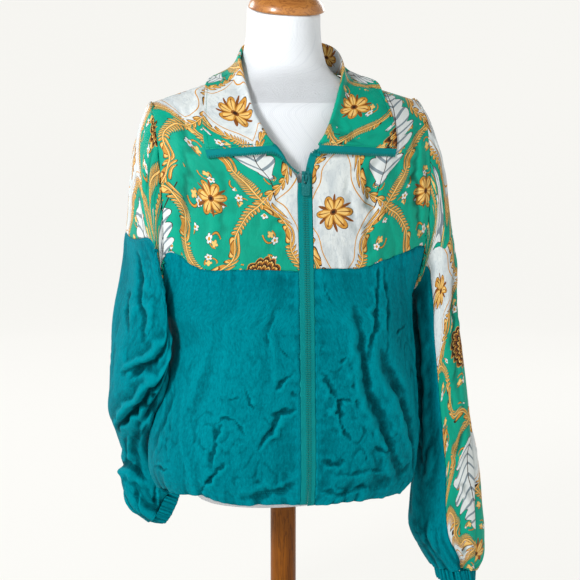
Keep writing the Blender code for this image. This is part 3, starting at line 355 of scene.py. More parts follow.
    # angles round the left sleeve where its panels meet, 0 outside and 90 in front
    LEFT_PANELS = SmoothTable("v front middle back", [
        (0.00, 135, 15, -120),
        (0.35, 124, 34, -126),
        (0.70, 112, 58, -126),
        (1.00, 100, 66, -124),
    ])
    ROLL = SmoothTable("s x y z", [
        (0.00, -0.0440, -0.1215, 0.8290),
        (0.05, -0.0530, -0.1175, 0.8410),
        (0.13, -0.0640, -0.0990, 0.8680),
        (0.22, -0.0700, -0.0720, 0.9050),
        (0.30, -0.0715, -0.0400, 0.9395),
        (0.38, -0.0640, -0.0020, 0.9620),
        (0.44, -0.0420, 0.0380, 0.9760),
        (0.50, 0.0020, 0.0560, 0.9840),
        (0.56, 0.0480, 0.0500, 0.9840),
        (0.62, 0.0800, 0.0220, 0.9740),
        (0.70, 0.0840, -0.0260, 0.9450),
        (0.78, 0.0660, -0.0700, 0.9050),
        (0.87, 0.0460, -0.0980, 0.8680),
        (0.95, 0.0290, -0.1170, 0.8420),
        (1.00, 0.0190, -0.1215, 0.8290),
    ])
    FALL_EDGE = SmoothTable("s x y z", [
        (0.00, -0.1380, -0.1060, 0.8215),
        (0.10, -0.1392, -0.0980, 0.8420),
        (0.20, -0.1360, -0.0820, 0.8675),
        (0.30, -0.1270, -0.0520, 0.8950),
        (0.38, -0.1150, -0.0100, 0.9180),
        (0.44, -0.0880, 0.0500, 0.9280),
        (0.50, 0.0000, 0.0860, 0.9340),
        (0.56, 0.0900, 0.0560, 0.9330),
        (0.63, 0.1330, -0.0100, 0.9240),
        (0.71, 0.1395, -0.0520, 0.8970),
        (0.80, 0.1435, -0.0800, 0.8660),
        (0.90, 0.1440, -0.0940, 0.8420),
        (1.00, 0.1420, -0.1010, 0.8215),
    ])
    # the right front's turned-out run beside the roll: teeth and inner edge
    LAPEL_COLUMNS = "n x y z inner_x inner_y inner_z"
    LAPEL_RIGHT = SmoothTable(LAPEL_COLUMNS, [
        (0, -0.0085, -0.1240, 0.7870, -0.0122, -0.1242, 0.7890),
        (1, -0.0190, -0.1245, 0.7950, -0.0222, -0.1247, 0.7995),
        (2, -0.0315, -0.1250, 0.8060, -0.0325, -0.1252, 0.8125),
    ])
    # the left front's run from the closed tape's end, over the roll
    LAPEL_LEFT = SmoothTable(LAPEL_COLUMNS, [
        (0, 0.0094, -0.1176, 0.8135, 0.0188, -0.1176, 0.8118),
        (1, 0.0150, -0.1225, 0.8208, 0.0222, -0.1200, 0.8232),
    ])

    def yoke(self, side: Side) -> SmoothTable:
        """The front yoke's table on this side."""
        return self.YOKE_RIGHT if side is Side.RIGHT else self.YOKE_LEFT

    def sleeve_ring(self, side: Side, w: float, angle: float) -> Vector:
        """A point on a sleeve's ring.

        Args:
            side: the sleeve.
            w: the share along it, 0 at the armhole and 1 at the cuff.
            angle: 0 outside, 90 in front, 180 inside, 270 behind.

        Returns:
            The point.
        """
        table = self.SLEEVE_RIGHT if side is Side.RIGHT else self.SLEEVE_LEFT
        outer_x, outer_z, inner_x, inner_z, y, depth, lift, swing = table.at(w)
        c, s = cos(radians(angle)), sin(radians(angle))
        rounded = min(w / self.sleeve_round_end, 1.0)
        power = 1.0 + (self.sleeve_power - 1.0) * rounded
        c, s_round = squared(c, power), squared(s, power)
        x = (outer_x + inner_x) / 2 + (outer_x - inner_x) / 2 * c - swing * s
        z = (outer_z + inner_z) / 2 + (outer_z - inner_z) / 2 * c + lift * s**2
        return Vector((side.value * x, y - depth * s_round, z))

    def sleeve_point(self, side: Side, w: float, angle: float) -> Vector:
        """A sleeve's point, kept just off the armhole's seam at its start.

        Args:
            side: the wearer's side.
            w: the share along the sleeve.
            angle: the angle round it.

        Returns:
            The point.
        """
        point = self.sleeve_ring(side, w, angle)
        if w > 0:
            return point
        ahead = self.sleeve_ring(side, self.sleeve_look_ahead, angle) - point
        return point + ahead.normalized() * self.sleeve_start

    def sleeve_core(self, side: Side, w: float) -> Vector:
        """A point inside the sleeve."""
        return (self.sleeve_ring(side, w, 0) + self.sleeve_ring(side, w, 180)) / 2

    def head_end(self, side: Side, angle: float) -> float:
        """Where the printed sleeve head ends.

        Args:
            side: the sleeve.
            angle: the angle round it.

        Returns:
            The share along the sleeve.
        """
        angle = (angle + 180) % 360 - 180
        outside = self.head_end_right if side is Side.RIGHT else self.head_end_left
        share = (abs(angle) - self.head_end_turn) / self.head_end_span
        share = min(max(share, 0.0), 1.0)
        share = share * share * (3 - 2 * share)
        return outside + (self.head_end_under - outside) * share

    def armhole(self, side: Side, angle: float) -> Vector:
        """A point of the armhole, 180 at the underarm and 0 at the shoulder."""
        return self.sleeve_ring(side, 0.0, angle)

    def side_rail(self, side: Side, v: float, front: bool) -> tuple[Vector, float]:
        """The end of a lower panel's row: the side seam, then the armhole.

        Args:
            side: the wearer's side.
            v: the row.
            front: whether the panel is a front.

        Returns:
            The point and the row's swing in degrees.
        """
        top_turn = (self.YOKE_LEFT if front else self.YOKE_BACK).at(0.0)[-1]
        if v > self.underarm_share:
            share = (v - self.underarm_share) / (1 - self.underarm_share)
            angle = 180 - (180 - self.yoke_angle) * share
            point = self.armhole(side, angle if front else -angle)
            return point, 90 + (top_turn - 90) * share
        hem = self.hem_z + (self.hem_rise_right if side is Side.RIGHT else 0.0)
        z = hem + (self.underarm_z - hem) * v / self.underarm_share
        right, left, _, _ = self.BODY.at(z)
        under = self.armhole(side, 180)
        half = right if side is Side.RIGHT else left
        nearness = exp(-((self.underarm_z - z) / self.underarm_blend) ** 2)
        x = side.value * half * (1 - nearness) + under.x * nearness
        return Vector((x, under.y * nearness, z)), 90

    def chest_drop(self, side: Side, u: float) -> Vector:
        """How far the chest seam drops here.

        Args:
            side: the wearer's side.
            u: the share across.

        Returns:
            The way down.
        """
        right = side is Side.RIGHT
        drop, = (self.CHEST_DROP_RIGHT if right else self.CHEST_DROP_LEFT).at(u)
        return Vector((0, 0, -drop))

    def hem_lift(self, side: Side, u: float) -> Vector:
        """How far the hem lifts here."""
        lift = self.HEM_LIFT_RIGHT.at(u)[0] if side is Side.RIGHT else 0.0
        return Vector((0, 0, lift))

    def lower_front(self, side: Side, u: float, v: float) -> Vector:
        """Lower front: u from the zip to the side seam, v from hem to chest seam.

        Args:
            side: the wearer's side.
            u: the share across.
            v: the share along.

        Returns:
            The point.
        """
        x, _, top, _ = self.yoke(side).at(0.0)
        hem = self.hem_z + self.hem_rise_front
        z = hem + (top - hem) * v
        start = Vector((side.value * x, -self.BODY.at(z)[2], z))
        end, turn = self.side_rail(side, v, True)
        power = self.body_power + (1 - self.body_power) * v**3
        row = arc_row(start, end, turn, u, power)
        return (row + self.chest_drop(side, u) * v**4
                + self.hem_lift(side, u) * (1 - v) ** 4)

    def upper_front(self, side: Side, u: float, v: float) -> Vector:
        """Front yoke: u from the zip or neckline to the armhole, v to the shoulder.

        Args:
            side: the wearer's side.
            u: the share across.
            v: the share along.

        Returns:
            The point.
        """
        x, y, z, turn = self.yoke(side).at(v)
        end = self.armhole(side, self.yoke_angle * (1 - v))
        row = arc_row(Vector((side.value * x, y, z)), end, turn, u)
        return row + self.chest_drop(side, u) * (1 - v) ** 3

    def lower_back(self, u: float, v: float) -> Vector:
        """Lower back: u from -1 at the right side to 1 at the left, v up.

        Args:
            u: the share across.
            v: the share along.

        Returns:
            The point.
        """
        side = Side.RIGHT if u < 0 else Side.LEFT
        hem = self.hem_z + self.hem_rise_back
        z = hem + (self.YOKE_BACK.at(0.0)[0] - hem) * v
        end, turn = self.side_rail(side, v, False)
        power = self.body_power + (1 - self.body_power) * v**3
        return arc_row(Vector((0.0, self.BODY.at(z)[3], z)), end, turn, abs(u), power)

    def neck_point(self, side: Side) -> Vector:
        """Where the neckline meets the shoulder seam."""
        x, y, z, _ = self.yoke(side).at(1.0)
        return Vector((side.value * x, y, z))

    def back_neckline(self, t: float) -> Vector:
        """The neckline behind the neck, t from -1 at the right shoulder to 1.

        Args:
            t: the share along it.

        Returns:
            The point.
        """
        z, depth, _ = self.YOKE_BACK.at(1.0)
        end = self.neck_point(Side.RIGHT if t < 0 else Side.LEFT)
        angle = pi / 2 * abs(t)
        return Vector((end.x * sin(angle), end.y + (depth - end.y) * cos(angle),
                       end.z + (z - end.z) * cos(angle)))

    def upper_back(self, u: float, v: float) -> Vector:
        """Back yoke: u from the right armhole to the left, v from its seam up.

        Args:
            u: the share across.
            v: the share along.

        Returns:
            The point.
        """
        side = Side.RIGHT if u < 0 else Side.LEFT
        z, depth, turn = self.YOKE_BACK.at(v)
        end = self.armhole(side, -self.yoke_angle * (1 - v))
        row = arc_row(Vector((0.0, depth, z)), end, turn, abs(u))
        if abs(u) < self.back_neck_share:
            top = self.back_neckline(u / self.back_neck_share)
        else:
            share = (abs(u) - self.back_neck_share) / (1 - self.back_neck_share)
            top = self.neck_point(side).lerp(self.armhole(side, 0), share)
        return row.lerp(top, v**5)

    def neckline(self, s: float) -> Vector:
        """The collar's seam line, s from the right front round to the left.

        Args:
            s: the share along it.

        Returns:
            The point.
        """
        if self.neck_station <= s <= 1 - self.neck_station:
            return self.back_neckline((s - 0.5) / (0.5 - self.neck_station))
        side = Side.RIGHT if s < 0.5 else Side.LEFT
        along = (s if side is Side.RIGHT else 1 - s) / self.neck_station
        return self.upper_front(side, 0.0, self.collar_neck_v
                                + (1 - self.collar_neck_v) * along)

    def collar_point(self, s: float, t: float) -> Vector:
        """A collar point.

        Args:
            s: the share from the right front round the neck to the left front.
            t: 0 at the neckline, stand_end to roll_end over the roll, 1 at the
                outer edge.

        Returns:
            The point.
        """
        roll = Vector(self.ROLL.at(s))
        ahead = Vector(self.ROLL.at(min(s + 0.01, 1.0)))
        ahead = (ahead - Vector(self.ROLL.at(max(s - 0.01, 0.0)))).normalized()
        edge = Vector(self.FALL_EDGE.at(s))
        seam = self.neckline(s)
        away = Vector((roll.x - 0.005, roll.y + 0.01, 0)).normalized()
        away = (away - ahead * away.dot(ahead)).normalized()
        rise = ahead.cross(away)
        rise = rise if rise.dot(roll - seam) > 0 else -rise
        centre = roll - rise * self.roll_radius
        inner = centre - away * self.roll_radius
        outer = centre + away * self.roll_radius
        foot = seam + (inner - seam).normalized() * self.collar_lift
        if t < self.stand_end:
            share = t / self.stand_end
            bow = inner - rise * (inner - foot).length * 0.5
            guide = ((foot + inner) / 2).lerp(bow, 0.6)
            return (foot * (1 - share) ** 2 + guide * 2 * share * (1 - share)
                    + inner * share**2)
        if t < self.roll_end:
            angle = pi * (t - self.stand_end) / (self.roll_end - self.stand_end)
            return (centre - away * self.roll_radius * cos(angle)
                    + rise * self.roll_radius * sin(angle))
        share = (t - self.roll_end) / (1 - self.roll_end)
        reach = (edge - outer).length
        middle = min(min(s, 1 - s) / 0.12, 1.0)
        down = (edge - outer).normalized().lerp(-rise, middle)
        guide = outer + down * reach * 0.40 + away * reach * 0.05
        return (outer * (1 - share) ** 2 + guide * 2 * share * (1 - share)
                + edge * share**2)


# ---------------------------------------------------------------- shader arithmetic

class Wire:
    """A number in a material's node tree; arithmetic on it adds Math nodes."""

    def __init__(self, tree: bpy.types.NodeTree, socket: bpy.types.NodeSocket) -> None:
        """Wrap a socket of the tree."""
        self.tree = tree
        self.socket = socket

    def math(self, operation: str, *others: "Wire | float") -> "Wire":
        """Add a Math node.

        Args:
            operation: Blender's name of the operation.
            others: its other inputs.

        Returns:
            The node's result.
        """
        node = self.tree.nodes.new("ShaderNodeMath")
        node.operation = operation
        for slot, value in zip(node.inputs, (self, *others)):
            if isinstance(value, Wire):
                self.tree.links.new(value.socket, slot)
            else:
                slot.default_value = value
        return Wire(self.tree, node.outputs[0])

    def __add__(self, other: "Wire | float") -> "Wire":
        """Sum."""
        return self.math("ADD", other)

    def __sub__(self, other: "Wire | float") -> "Wire":
        """Difference."""
        return self.math("SUBTRACT", other)

    def __mul__(self, other: "Wire | float") -> "Wire":
        """Product."""
        return self.math("MULTIPLY", other)

    def __truediv__(self, other: "Wire | float") -> "Wire":
        """Quotient."""
        return self.math("DIVIDE", other)

    def __pow__(self, other: float) -> "Wire":
        """Power."""
        return self.math("POWER", other)

    def sine(self) -> "Wire":
        """Sine."""
        return self.math("SINE")

    def cosine(self) -> "Wire":
        """Cosine."""
        return self.math("COSINE")

    def size(self) -> "Wire":
        """Absolute value."""
        return self.math("ABSOLUTE")

    def part(self) -> "Wire":
        """Fractional part."""
        return self.math("FRACT")

    def whole(self) -> "Wire":
        """Floor."""
        return self.math("FLOOR")

    def root(self) -> "Wire":
        """Square root."""
        return self.math("SQRT")

    def below(self, limit: "Wire | float") -> "Wire":
        """1 where the number is under the limit."""
        return self.math("LESS_THAN", limit)

    def over(self, limit: "Wire | float") -> "Wire":
        """1 where the number is over the limit."""
        return self.math("GREATER_THAN", limit)

    def least(self, other: "Wire | float") -> "Wire":
        """The smaller of two."""
        return self.math("MINIMUM", other)

    def most(self, other: "Wire | float") -> "Wire":
        """The larger of two."""
        return self.math("MAXIMUM", other)

    def held(self, high: float, low: float = 0.0) -> "Wire":
        """The number, held between two limits."""
        return self.most(low).least(high)

    def rest(self) -> "Wire":
        """1 less the number."""
        return self * -1.0 + 1.0

    def off_middle(self, size: float) -> "Wire":
        """How far a place, in cells, is from its cell's middle, in metres."""
        return (self.part() - 0.5) * size

    def odd(self) -> "Wire":
        """1 where a whole number is odd."""
        return (self * 0.5).part().over(0.25)

    def choose(self, if_one: "Wire", if_nought: "Wire") -> "Wire":
        """if_one where this is 1, if_nought where it is 0."""
        return if_nought + self * (if_one - if_nought)


@dataclass
class Polar:
    """Distance and angle from a motif's centre."""
    radius: Wire
    angle: Wire

    @classmethod
    def around(cls, x: Wire, y: Wire) -> "Polar":
        """Polar places of flat ones."""
        return cls((x * x + y * y).root(), y.math("ARCTAN2", x))


class Dye:
    """A colour in a node tree that motifs are printed over, one by one."""

    def __init__(self, tree: bpy.types.NodeTree, colour: Colour) -> None:
        """Start from a plain ground.

        Args:
            tree: the material's tree.
            colour: the colour.
        """
        self.tree = tree
        node = tree.nodes.new("ShaderNodeRGB")
        node.outputs[0].default_value = (*colour, 1)
        self.socket = node.outputs[0]

    def over(self, mask: Wire, colour: "Colour | Dye", blend: str = "MIX") -> "Dye":
        """Print a colour where a mask is 1.

        Args:
            mask: from 0 to 1.
            colour: the colour, plain or itself printed.
            blend: Blender's name for how it mixes.

        Returns:
            This dye.
        """
        node = self.tree.nodes.new("ShaderNodeMix")
        node.data_type = "RGBA"
        node.blend_type = blend
        node.clamp_factor = True
        links = self.tree.links
        links.new(mask.socket, node.inputs[0])
        links.new(self.socket, node.inputs[6])
        if isinstance(colour, Dye):
            links.new(colour.socket, node.inputs[7])
        else:
            node.inputs[7].default_value = (*colour, 1)
        self.socket = node.outputs[2]
        return self


# ---------------------------------------------------------------- finishes

def new_material(name: str) -> tuple[bpy.types.Material, bpy.types.NodeTree,
                                     bpy.types.Node]:
    """An empty material.

    Args:
        name: its name.

    Returns:
        The material, its tree and its shader.
    """
    made = bpy.data.materials.new(name)
    made.use_nodes = True
    return made, made.node_tree, made.node_tree.nodes["Principled BSDF"]


def set_inputs(node: bpy.types.Node,
               values: "dict[str, Wire | Dye | float | tuple]") -> None:
    """Give a node's inputs their wires, dyes, numbers or colours.

    Args:
        node: the node.
        values: what goes into each input, by the input's name.
    """
    for name, value in values.items():
        if isinstance(value, (Wire, Dye)):
            value.tree.links.new(value.socket, node.inputs[name])
        elif isinstance(value, tuple):
            node.inputs[name].default_value = (*value, 1)
        else:
            node.inputs[name].default_value = value


def flat_place(tree: bpy.types.NodeTree, layer: str) -> tuple[Wire, Wire]:
    """A UV layer's two places, in metres.

    Args:
        tree: the material's tree.
        layer: the layer's name.

    Returns:
        The place across and the place along.
    """
    uv = tree.nodes.new("ShaderNodeUVMap")
    uv.uv_map = layer
    parted = tree.nodes.new("ShaderNodeSeparateXYZ")
    tree.links.new(uv.outputs[0], parted.inputs[0])
    return Wire(tree, parted.outputs[0]), Wire(tree, parted.outputs[1])


def joined(x: Wire, y: Wire, z: float = 0.0) -> bpy.types.NodeSocket:
    """A vector socket of two wires and a depth.

    Args:
        x: the place across.
        y: the place along.
        z: the depth.

    Returns:
        The socket.
    """
    node = x.tree.nodes.new("ShaderNodeCombineXYZ")
    x.tree.links.new(x.socket, node.inputs[0])
    x.tree.links.new(y.socket, node.inputs[1])
    node.inputs[2].default_value = z
    return node.outputs[0]


@dataclass(frozen=True)
class Noise:
    """Noise over a flat place, its rates in waves a metre."""
    rates: tuple[float, float]
    detail: float = 2.0
    roughness: float = 0.5
    distortion: float = 0.0
    seed: float = 0.0

    def over(self, x: Wire, y: Wire) -> Wire:
        """The noise at a place.

        Args:
            x, y: the place, in metres.

        Returns:
            The noise, round a half.
        """
        node = x.tree.nodes.new("ShaderNodeTexNoise")
        set_inputs(node, {"Scale": 1.0, "Detail": self.detail,
                          "Roughness": self.roughness,
                          "Distortion": self.distortion})
        place = joined(x * self.rates[0], y * self.rates[1], self.seed)
        x.tree.links.new(place, node.inputs["Vector"])
        return Wire(x.tree, node.outputs["Fac"])


def grain_wire(tree: bpy.types.NodeTree, place: bpy.types.NodeSocket, scale: float,
               detail: float, distortion: float = 0.0) -> Wire:
    """Noise through a solid.

    Args:
        tree: the material's tree.
        place: the place in the piece's own space.
        scale: how many waves a metre.
        detail, distortion: the texture's settings.

    Returns:
        The noise, round a half.
    """
    node = tree.nodes.new("ShaderNodeTexNoise")
    set_inputs(node, {"Scale": scale, "Detail": detail, "Distortion": distortion})
    tree.links.new(place, node.inputs["Vector"])
    return Wire(tree, node.outputs["Fac"])


def bump(tree: bpy.types.NodeTree, shader: bpy.types.Node, height: Wire,
         distance: float) -> None:
    """Give a shader a bump.

    Args:
        tree: the material's tree.
        shader: its shader.
        height: from 0 to 1.
        distance: the height of 1, in metres.
    """
    node = tree.nodes.new("ShaderNodeBump")
    set_inputs(node, {"Distance": distance, "Height": height})
    tree.links.new(node.outputs[0], shader.inputs["Normal"])


@dataclass(frozen=True)
class CrinkledNylon:
    """Thin nylon, crinkled in fine streaks that run down the cloth, its colour carrying
    painted shade and painted highlights.
    """
    name: str = "teal_nylon"
    slot: str = "teal_cloth"
    colour: Colour = linear(0, 115, 128)
    # the shade colour paints shade on the crinkles and broad patches, the next paints
    # shade in the creases' hollows, the next paints highlights on ridges
    shade: Colour = linear(0, 86, 98)
    deep: Colour = linear(0, 42, 50)
    lifted: Colour = linear(0, 140, 152)
    hollow_gain: float = 0.95
    ridge_gain: float = 0.34
    roughness: float = 0.62
    gloss: float = 0.02
    tint: Colour = linear(110, 232, 236)
    crinkle: float = 0.0011

    CALM = Noise((16, 12), seed=17.0)
    PUCKERS = Noise((110, 38), distortion=0.5, seed=3.1)
    STREAKS = Noise((420, 170), 3, 0.66, 0.3, 7.7)
    FACETS = Noise((240, 170), 2, 0.55, 0.8, 12.0)
    WEAVE = Noise((1500, 1300), 1, seed=1.0)
    # broad patches of painted shade, for uneven sheen
    PATCHES = Noise((12, 7), 3, 0.6, 0.2, 21.0)
    RAGGED = Noise((300, 210), 3, 0.62, 0.6, 40.0)

    def crinkles(self, tree: bpy.types.NodeTree) -> tuple[Wire, Wire]:
        """The crinkle's height.

        Args:
            tree: the material's tree.

        Returns:
            The height, and its upright streaks alone.
        """
        x, y = flat_place(tree, "cloth")
        mask = ((self.CALM.over(x, y) - 0.42) * 5.0).held(1.0, 0.15)
        broad = (self.PUCKERS.over(x, y) - 0.5).size() * 6.0
        broad = (broad.least(1.0) - 1.0) * mask + 1.0
        streaks = self.STREAKS.over(x, y)
        facets = (self.FACETS.over(x, y) - 0.5).size() * 4.0
        weave = self.WEAVE.over(x, y)
        height = (broad * 0.34 + streaks * 0.44
                  + facets.least(1.0) * 0.12 + weave * 0.06)
        return height, streaks

    def ground(self, tree: bpy.types.NodeTree, streaks: Wire) -> Dye:
        """The cloth's colour, with painted shade in broad patches and painted shade and
        highlights on its crinkles and creases.

        Args:
            tree: the material's tree.
            streaks: the crinkle's upright streaks.

        Returns:
            The cloth's dye.
        """
        x, y = flat_place(tree, "cloth")
        dye = Dye(tree, self.colour)
        sheen_patches = self.PATCHES.over(x, y)
        # painted shade in broad patches, for uneven sheen
        dye.over(((sheen_patches - 0.45) * 1.6).held(0.30), self.shade)
        # painted shade in the crinkles' low streaks
        dye.over(((streaks * -1.0 + 0.50) * 3.2).held(0.55), self.shade)
        # painted highlight on the crinkles' high streaks
        dye.over(((streaks - 0.54) * 2.6).held(0.40), self.lifted)
        self.hollows(dye, self.deep)
        return dye

    def hollows(self, dye: Dye, colour: Colour) -> None:
        """Paint shade into the creases' hollows, raggedly, and paint highlights on
        their ridges.

        Args:
            dye: what it is printed on.
            colour: the painted shade's colour.
        """
        relief, _ = flat_place(dye.tree, "hollow")
        x, y = flat_place(dye.tree, "cloth")
        ragged = ((self.RAGGED.over(x, y) - 0.5) * 3.4 + 1.0).held(1.9, 0.2)
        depth = (relief * ragged * -self.hollow_gain).most(0.0)
        # painted shade in the creases' hollows
        dye.over(depth / (depth + 0.75), colour)
        # painted highlight on the creases' ridges
        dye.over((relief * ragged * self.ridge_gain).held(0.40), self.lifted)

    def make(self) -> bpy.types.Material:
        """Build the material.

        Returns:
            The material.
        """
        made, tree, shader = new_material(self.name)
        height, streaks = self.crinkles(tree)
        dye = self.ground(tree, streaks)
        set_inputs(shader, {"Base Color": dye,
                            "Roughness": height * 0.22 + (self.roughness - 0.1),
                            "Specular IOR Level": self.gloss,
                            "Specular Tint": self.tint})
        bump(tree, shader, height, self.crinkle)
        return made


@dataclass(frozen=True)
class PrintedNylon(CrinkledNylon):
    """The same nylon, printed with an ogee lattice of laurel garlands and flowers."""
    name: str = "printed_nylon"
    slot: str = "printed_cloth"
    crinkle: float = 0.0008
    gloss: float = 0.14
    tint: Colour = linear(255, 255, 255)
    # painted shade for the creases' hollows, and a painted highlight colour that this
    # print does not use
    deep: Colour = linear(96, 120, 116)
    lifted: Colour = linear(255, 255, 255)
    hollow_gain: float = 0.5
    ridge_gain: float = 0.06
    emerald: Colour = linear(0, 150, 124)
    # the emerald and ivory shade colours are painted shade of the crinkles
    emerald_shade: Colour = linear(0, 122, 102)
    ivory: Colour = linear(204, 210, 210)
    ivory_shade: Colour = linear(168, 178, 184)
    gold: Colour = linear(190, 134, 54)
    gold_light: Colour = linear(222, 182, 106)
    brown: Colour = linear(122, 70, 28)
    dark: Colour = linear(48, 33, 22)
    grey: Colour = linear(120, 134, 142)
    lattice: tuple[float, float] = (0.150, 0.215)
    ogee: float = 0.42
    garland_width: float = 0.0042
    sway: float = 0.030

    SWAY = Noise((14, 14), 1, seed=4.0)
    DRIFT = Noise((14, 14), 1, seed=9.0)
    # mottles of painted crinkle shade, coarse and fine
    PALE = Noise((30, 18), 3, 0.6, 0.5, 31.0)
    PAPER = Noise((190, 130), 3, 0.66, 0.7, 35.0)

    def fields(self, x: Wire, y: Wire) -> dict[str, Wire]:
        """The lattice's own places.

        Args:
            x, y: the cloth's place, in metres.

        Returns:
            Named wires: field over 0 in the emerald fields, across and along
            each garland, and the places from the emerald and ivory centres.
        """
        width, height = self.lattice
        turn_x = x * (2 * pi / width)
        turn_y = y * (2 * pi / height)
        wave = turn_y + (turn_y * 2.0).sine() * self.ogee
        first = (turn_x + wave) * 0.5
        second = (turn_x - wave) * 0.5
        steep = ((turn_y * 2.0).cosine() * (2 * self.ogee) + 1.0) * (pi / height)
        slope = (steep * steep + (pi / width) ** 2).root()
        off_first = (first / pi).off_middle(pi) / slope
        off_second = (second / pi).off_middle(pi) / slope
        nearer = off_first.size().below(off_second.size())
        return {
            "field": first.cosine() * second.cosine(),
            "across": nearer.choose(off_first, off_second),
            "along": nearer.choose(second, first) / slope,
            "x": x / width, "y": y / height,
        }

    def garland(self, dye: Dye, across: Wire, along: Wire) -> None:
        """Print the gold laurel garlands: a stem and leaves in pairs.

        Args:
            dye: what it is printed on.
            across: how far across the garland.
            along: how far along it.
        """
        pitch, lean, leaf_length, leaf_width = 0.0098, radians(36), 0.0058, 0.0023
        off = across.size()
        step = (along / pitch).off_middle(pitch)
        out = off - self.garland_width * 0.80
        leaf_x = step * cos(lean) + out * sin(lean)
        leaf_y = out * cos(lean) - step * sin(lean)
        leaf = ((leaf_x / leaf_length) ** 2.0 + (leaf_y / leaf_width) ** 2.0).root()
        dye.over(leaf.below(1.26), self.dark)
        dye.over(leaf.below(1.0), self.gold)
        dye.over(leaf.below(0.72) * leaf_y.over(0.0002), self.gold_light)
        dye.over(leaf.below(0.9) * leaf_y.size().below(0.00022), self.brown)
        dye.over(off.below(0.0013), self.brown)
        dye.over(off.below(0.0008), self.gold_light)

    def dahlia(self, dye: Dye, place: Polar, radius: float) -> None:
        """Print a bronze dahlia of four rings of petals.

        Args:
            dye: what it is printed on.
            place: the place from its middle.
            radius: its radius, in metres.
        """
        petals = (place.angle * 7.0).cosine().size()
        rim = (petals * 0.14 + 0.86) * radius
        inside = place.radius.below(rim)
        dye.over(place.radius.below(rim + 0.0012), self.gold)
        dye.over(inside, self.dark)
        ring = (place.radius / radius * 4.0 + petals * -0.45).part()
        dye.over(inside * ring.over(0.30), self.brown)
        dye.over(inside * ring.over(0.62), self.gold)
        dye.over(inside * ring.over(0.80) * petals.over(0.5), self.gold_light)
        veins = (place.angle * 42.0).sine().over(0.72)
        dye.over(inside * veins * place.radius.over(0.006), self.dark)
        dye.over(place.radius.below(radius * 0.14), self.gold_light)
        dye.over(place.radius.below(radius * 0.08), self.dark)

    def star(self, dye: Dye, place: Polar, radius: float) -> None:
        """Print a gold star flower: six pointed petals over six narrow sepals.

        Args:
            dye: what it is printed on.
            place: the place from its middle.
            radius: its radius, in metres.
        """
        petal = (place.angle * 3.0).cosine().size()
        sepal = (place.angle * 3.0).sine().size()
        tip = petal ** 0.7 * 0.72 + 0.28
        thorn = sepal ** 6.0 * 0.98 + 0.02
        dye.over(place.radius.below(thorn * radius * 1.08), self.brown)
        dye.over(place.radius.below(tip * radius + 0.0009), self.dark)
        dye.over(place.radius.below(tip * radius), self.gold)
        dye.over(place.radius.below(tip * radius * 0.80) * petal.over(0.55),
                 self.gold_light)
        dye.over(place.radius.below(tip * radius * 0.9) * petal.over(0.992), self.brown)
        dye.over(place.radius.below(radius * 0.20), self.brown)
        dye.over(place.radius.below(radius * 0.11), self.dark)

    def fern(self, dye: Dye, x: Wire, y: Wire, length: float, shown: Wire) -> None:
        """Print a white fern leaf with grey veins, bent to one side.

        Args:
            dye: what it is printed on.
            x: the place across.
            y: the place along.
            length: its length.
            shown: 1 where it may show.
        """
        share = y / length
        rib = x + share * share * 0.016 - 0.008
        off = rib.size()
        comb = y * 125.0 - off * 95.0
        teeth = comb.sine().size() * 0.42 + 0.58
        outline = (share * share).rest().most(0.0).root() * 0.030 * teeth
        inside = off.below(outline) * shown
        dye.over(off.below(outline + 0.0009) * shown, self.dark)
        dye.over(inside, self.ivory)
        veins = (comb * 3.0).sine().over(0.70)
        dye.over(inside * veins, self.grey)
        dye.over(off.below(0.0007) * shown * share.size().below(1.0), self.dark)

    def blossoms(self, dye: Dye, x: Wire, y: Wire, shown: Wire) -> None:
        """Scatter small white and gold blossoms on curled gold stems.

        Args:
            dye: what it is printed on.
            x: the place across.
            y: the place along.
            shown: 1 where it may show.
        """
        cell, stray, stem_reach = 0.040, 0.016, 0.0105
        bud_size, heart_size = 0.0058, 0.0050
        cell_x, cell_y = (x / cell).whole(), (y / cell).whole()
        dice = dye.tree.nodes.new("ShaderNodeTexWhiteNoise")
        dice.noise_dimensions = "2D"
        dye.tree.links.new(joined(cell_x, cell_y), dice.inputs["Vector"])
        parted = dye.tree.nodes.new("ShaderNodeSeparateColor")
        dye.tree.links.new(dice.outputs["Color"], parted.inputs[0])
        red, green, blue = (Wire(dye.tree, out) for out in parted.outputs[:3])
        near_x = (x / cell).off_middle(cell) - (red - 0.5) * stray
        near_y = (y / cell).off_middle(cell) - (green - 0.5) * stray
        place = Polar.around(near_x, near_y)
        turned = place.angle + blue * (2 * pi)
        curl = (place.radius - 0.0085 - turned.sine() * 0.0030).size()
        stem = curl.below(0.0009) * turned.cosine().over(-0.55) * shown
        dye.over(curl.below(0.0015) * turned.cosine().over(-0.5) * shown, self.dark)
        dye.over(stem, self.gold)
        bud_x = near_x - (blue * (2 * pi)).cosine() * stem_reach
        bud_y = near_y + (blue * (2 * pi)).sine() * stem_reach
        bud = Polar.around(bud_x, bud_y)
        petal = (bud.angle * 2.5).cosine().size() * 0.45 + 0.55
        dye.over(bud.radius.below(petal * bud_size + 0.0007) * shown, self.dark)
        dye.over(bud.radius.below(petal * bud_size) * shown, self.ivory)
        dye.over(bud.radius.below(0.0021) * shown, self.gold)
        heart_petal = (turned * 2.0).cosine().size() * 0.5 + 0.5
        dye.over(place.radius.below(heart_petal * heart_size + 0.0006) * shown,
                 self.brown)
        dye.over(place.radius.below(heart_petal * heart_size) * shown, self.gold_light)

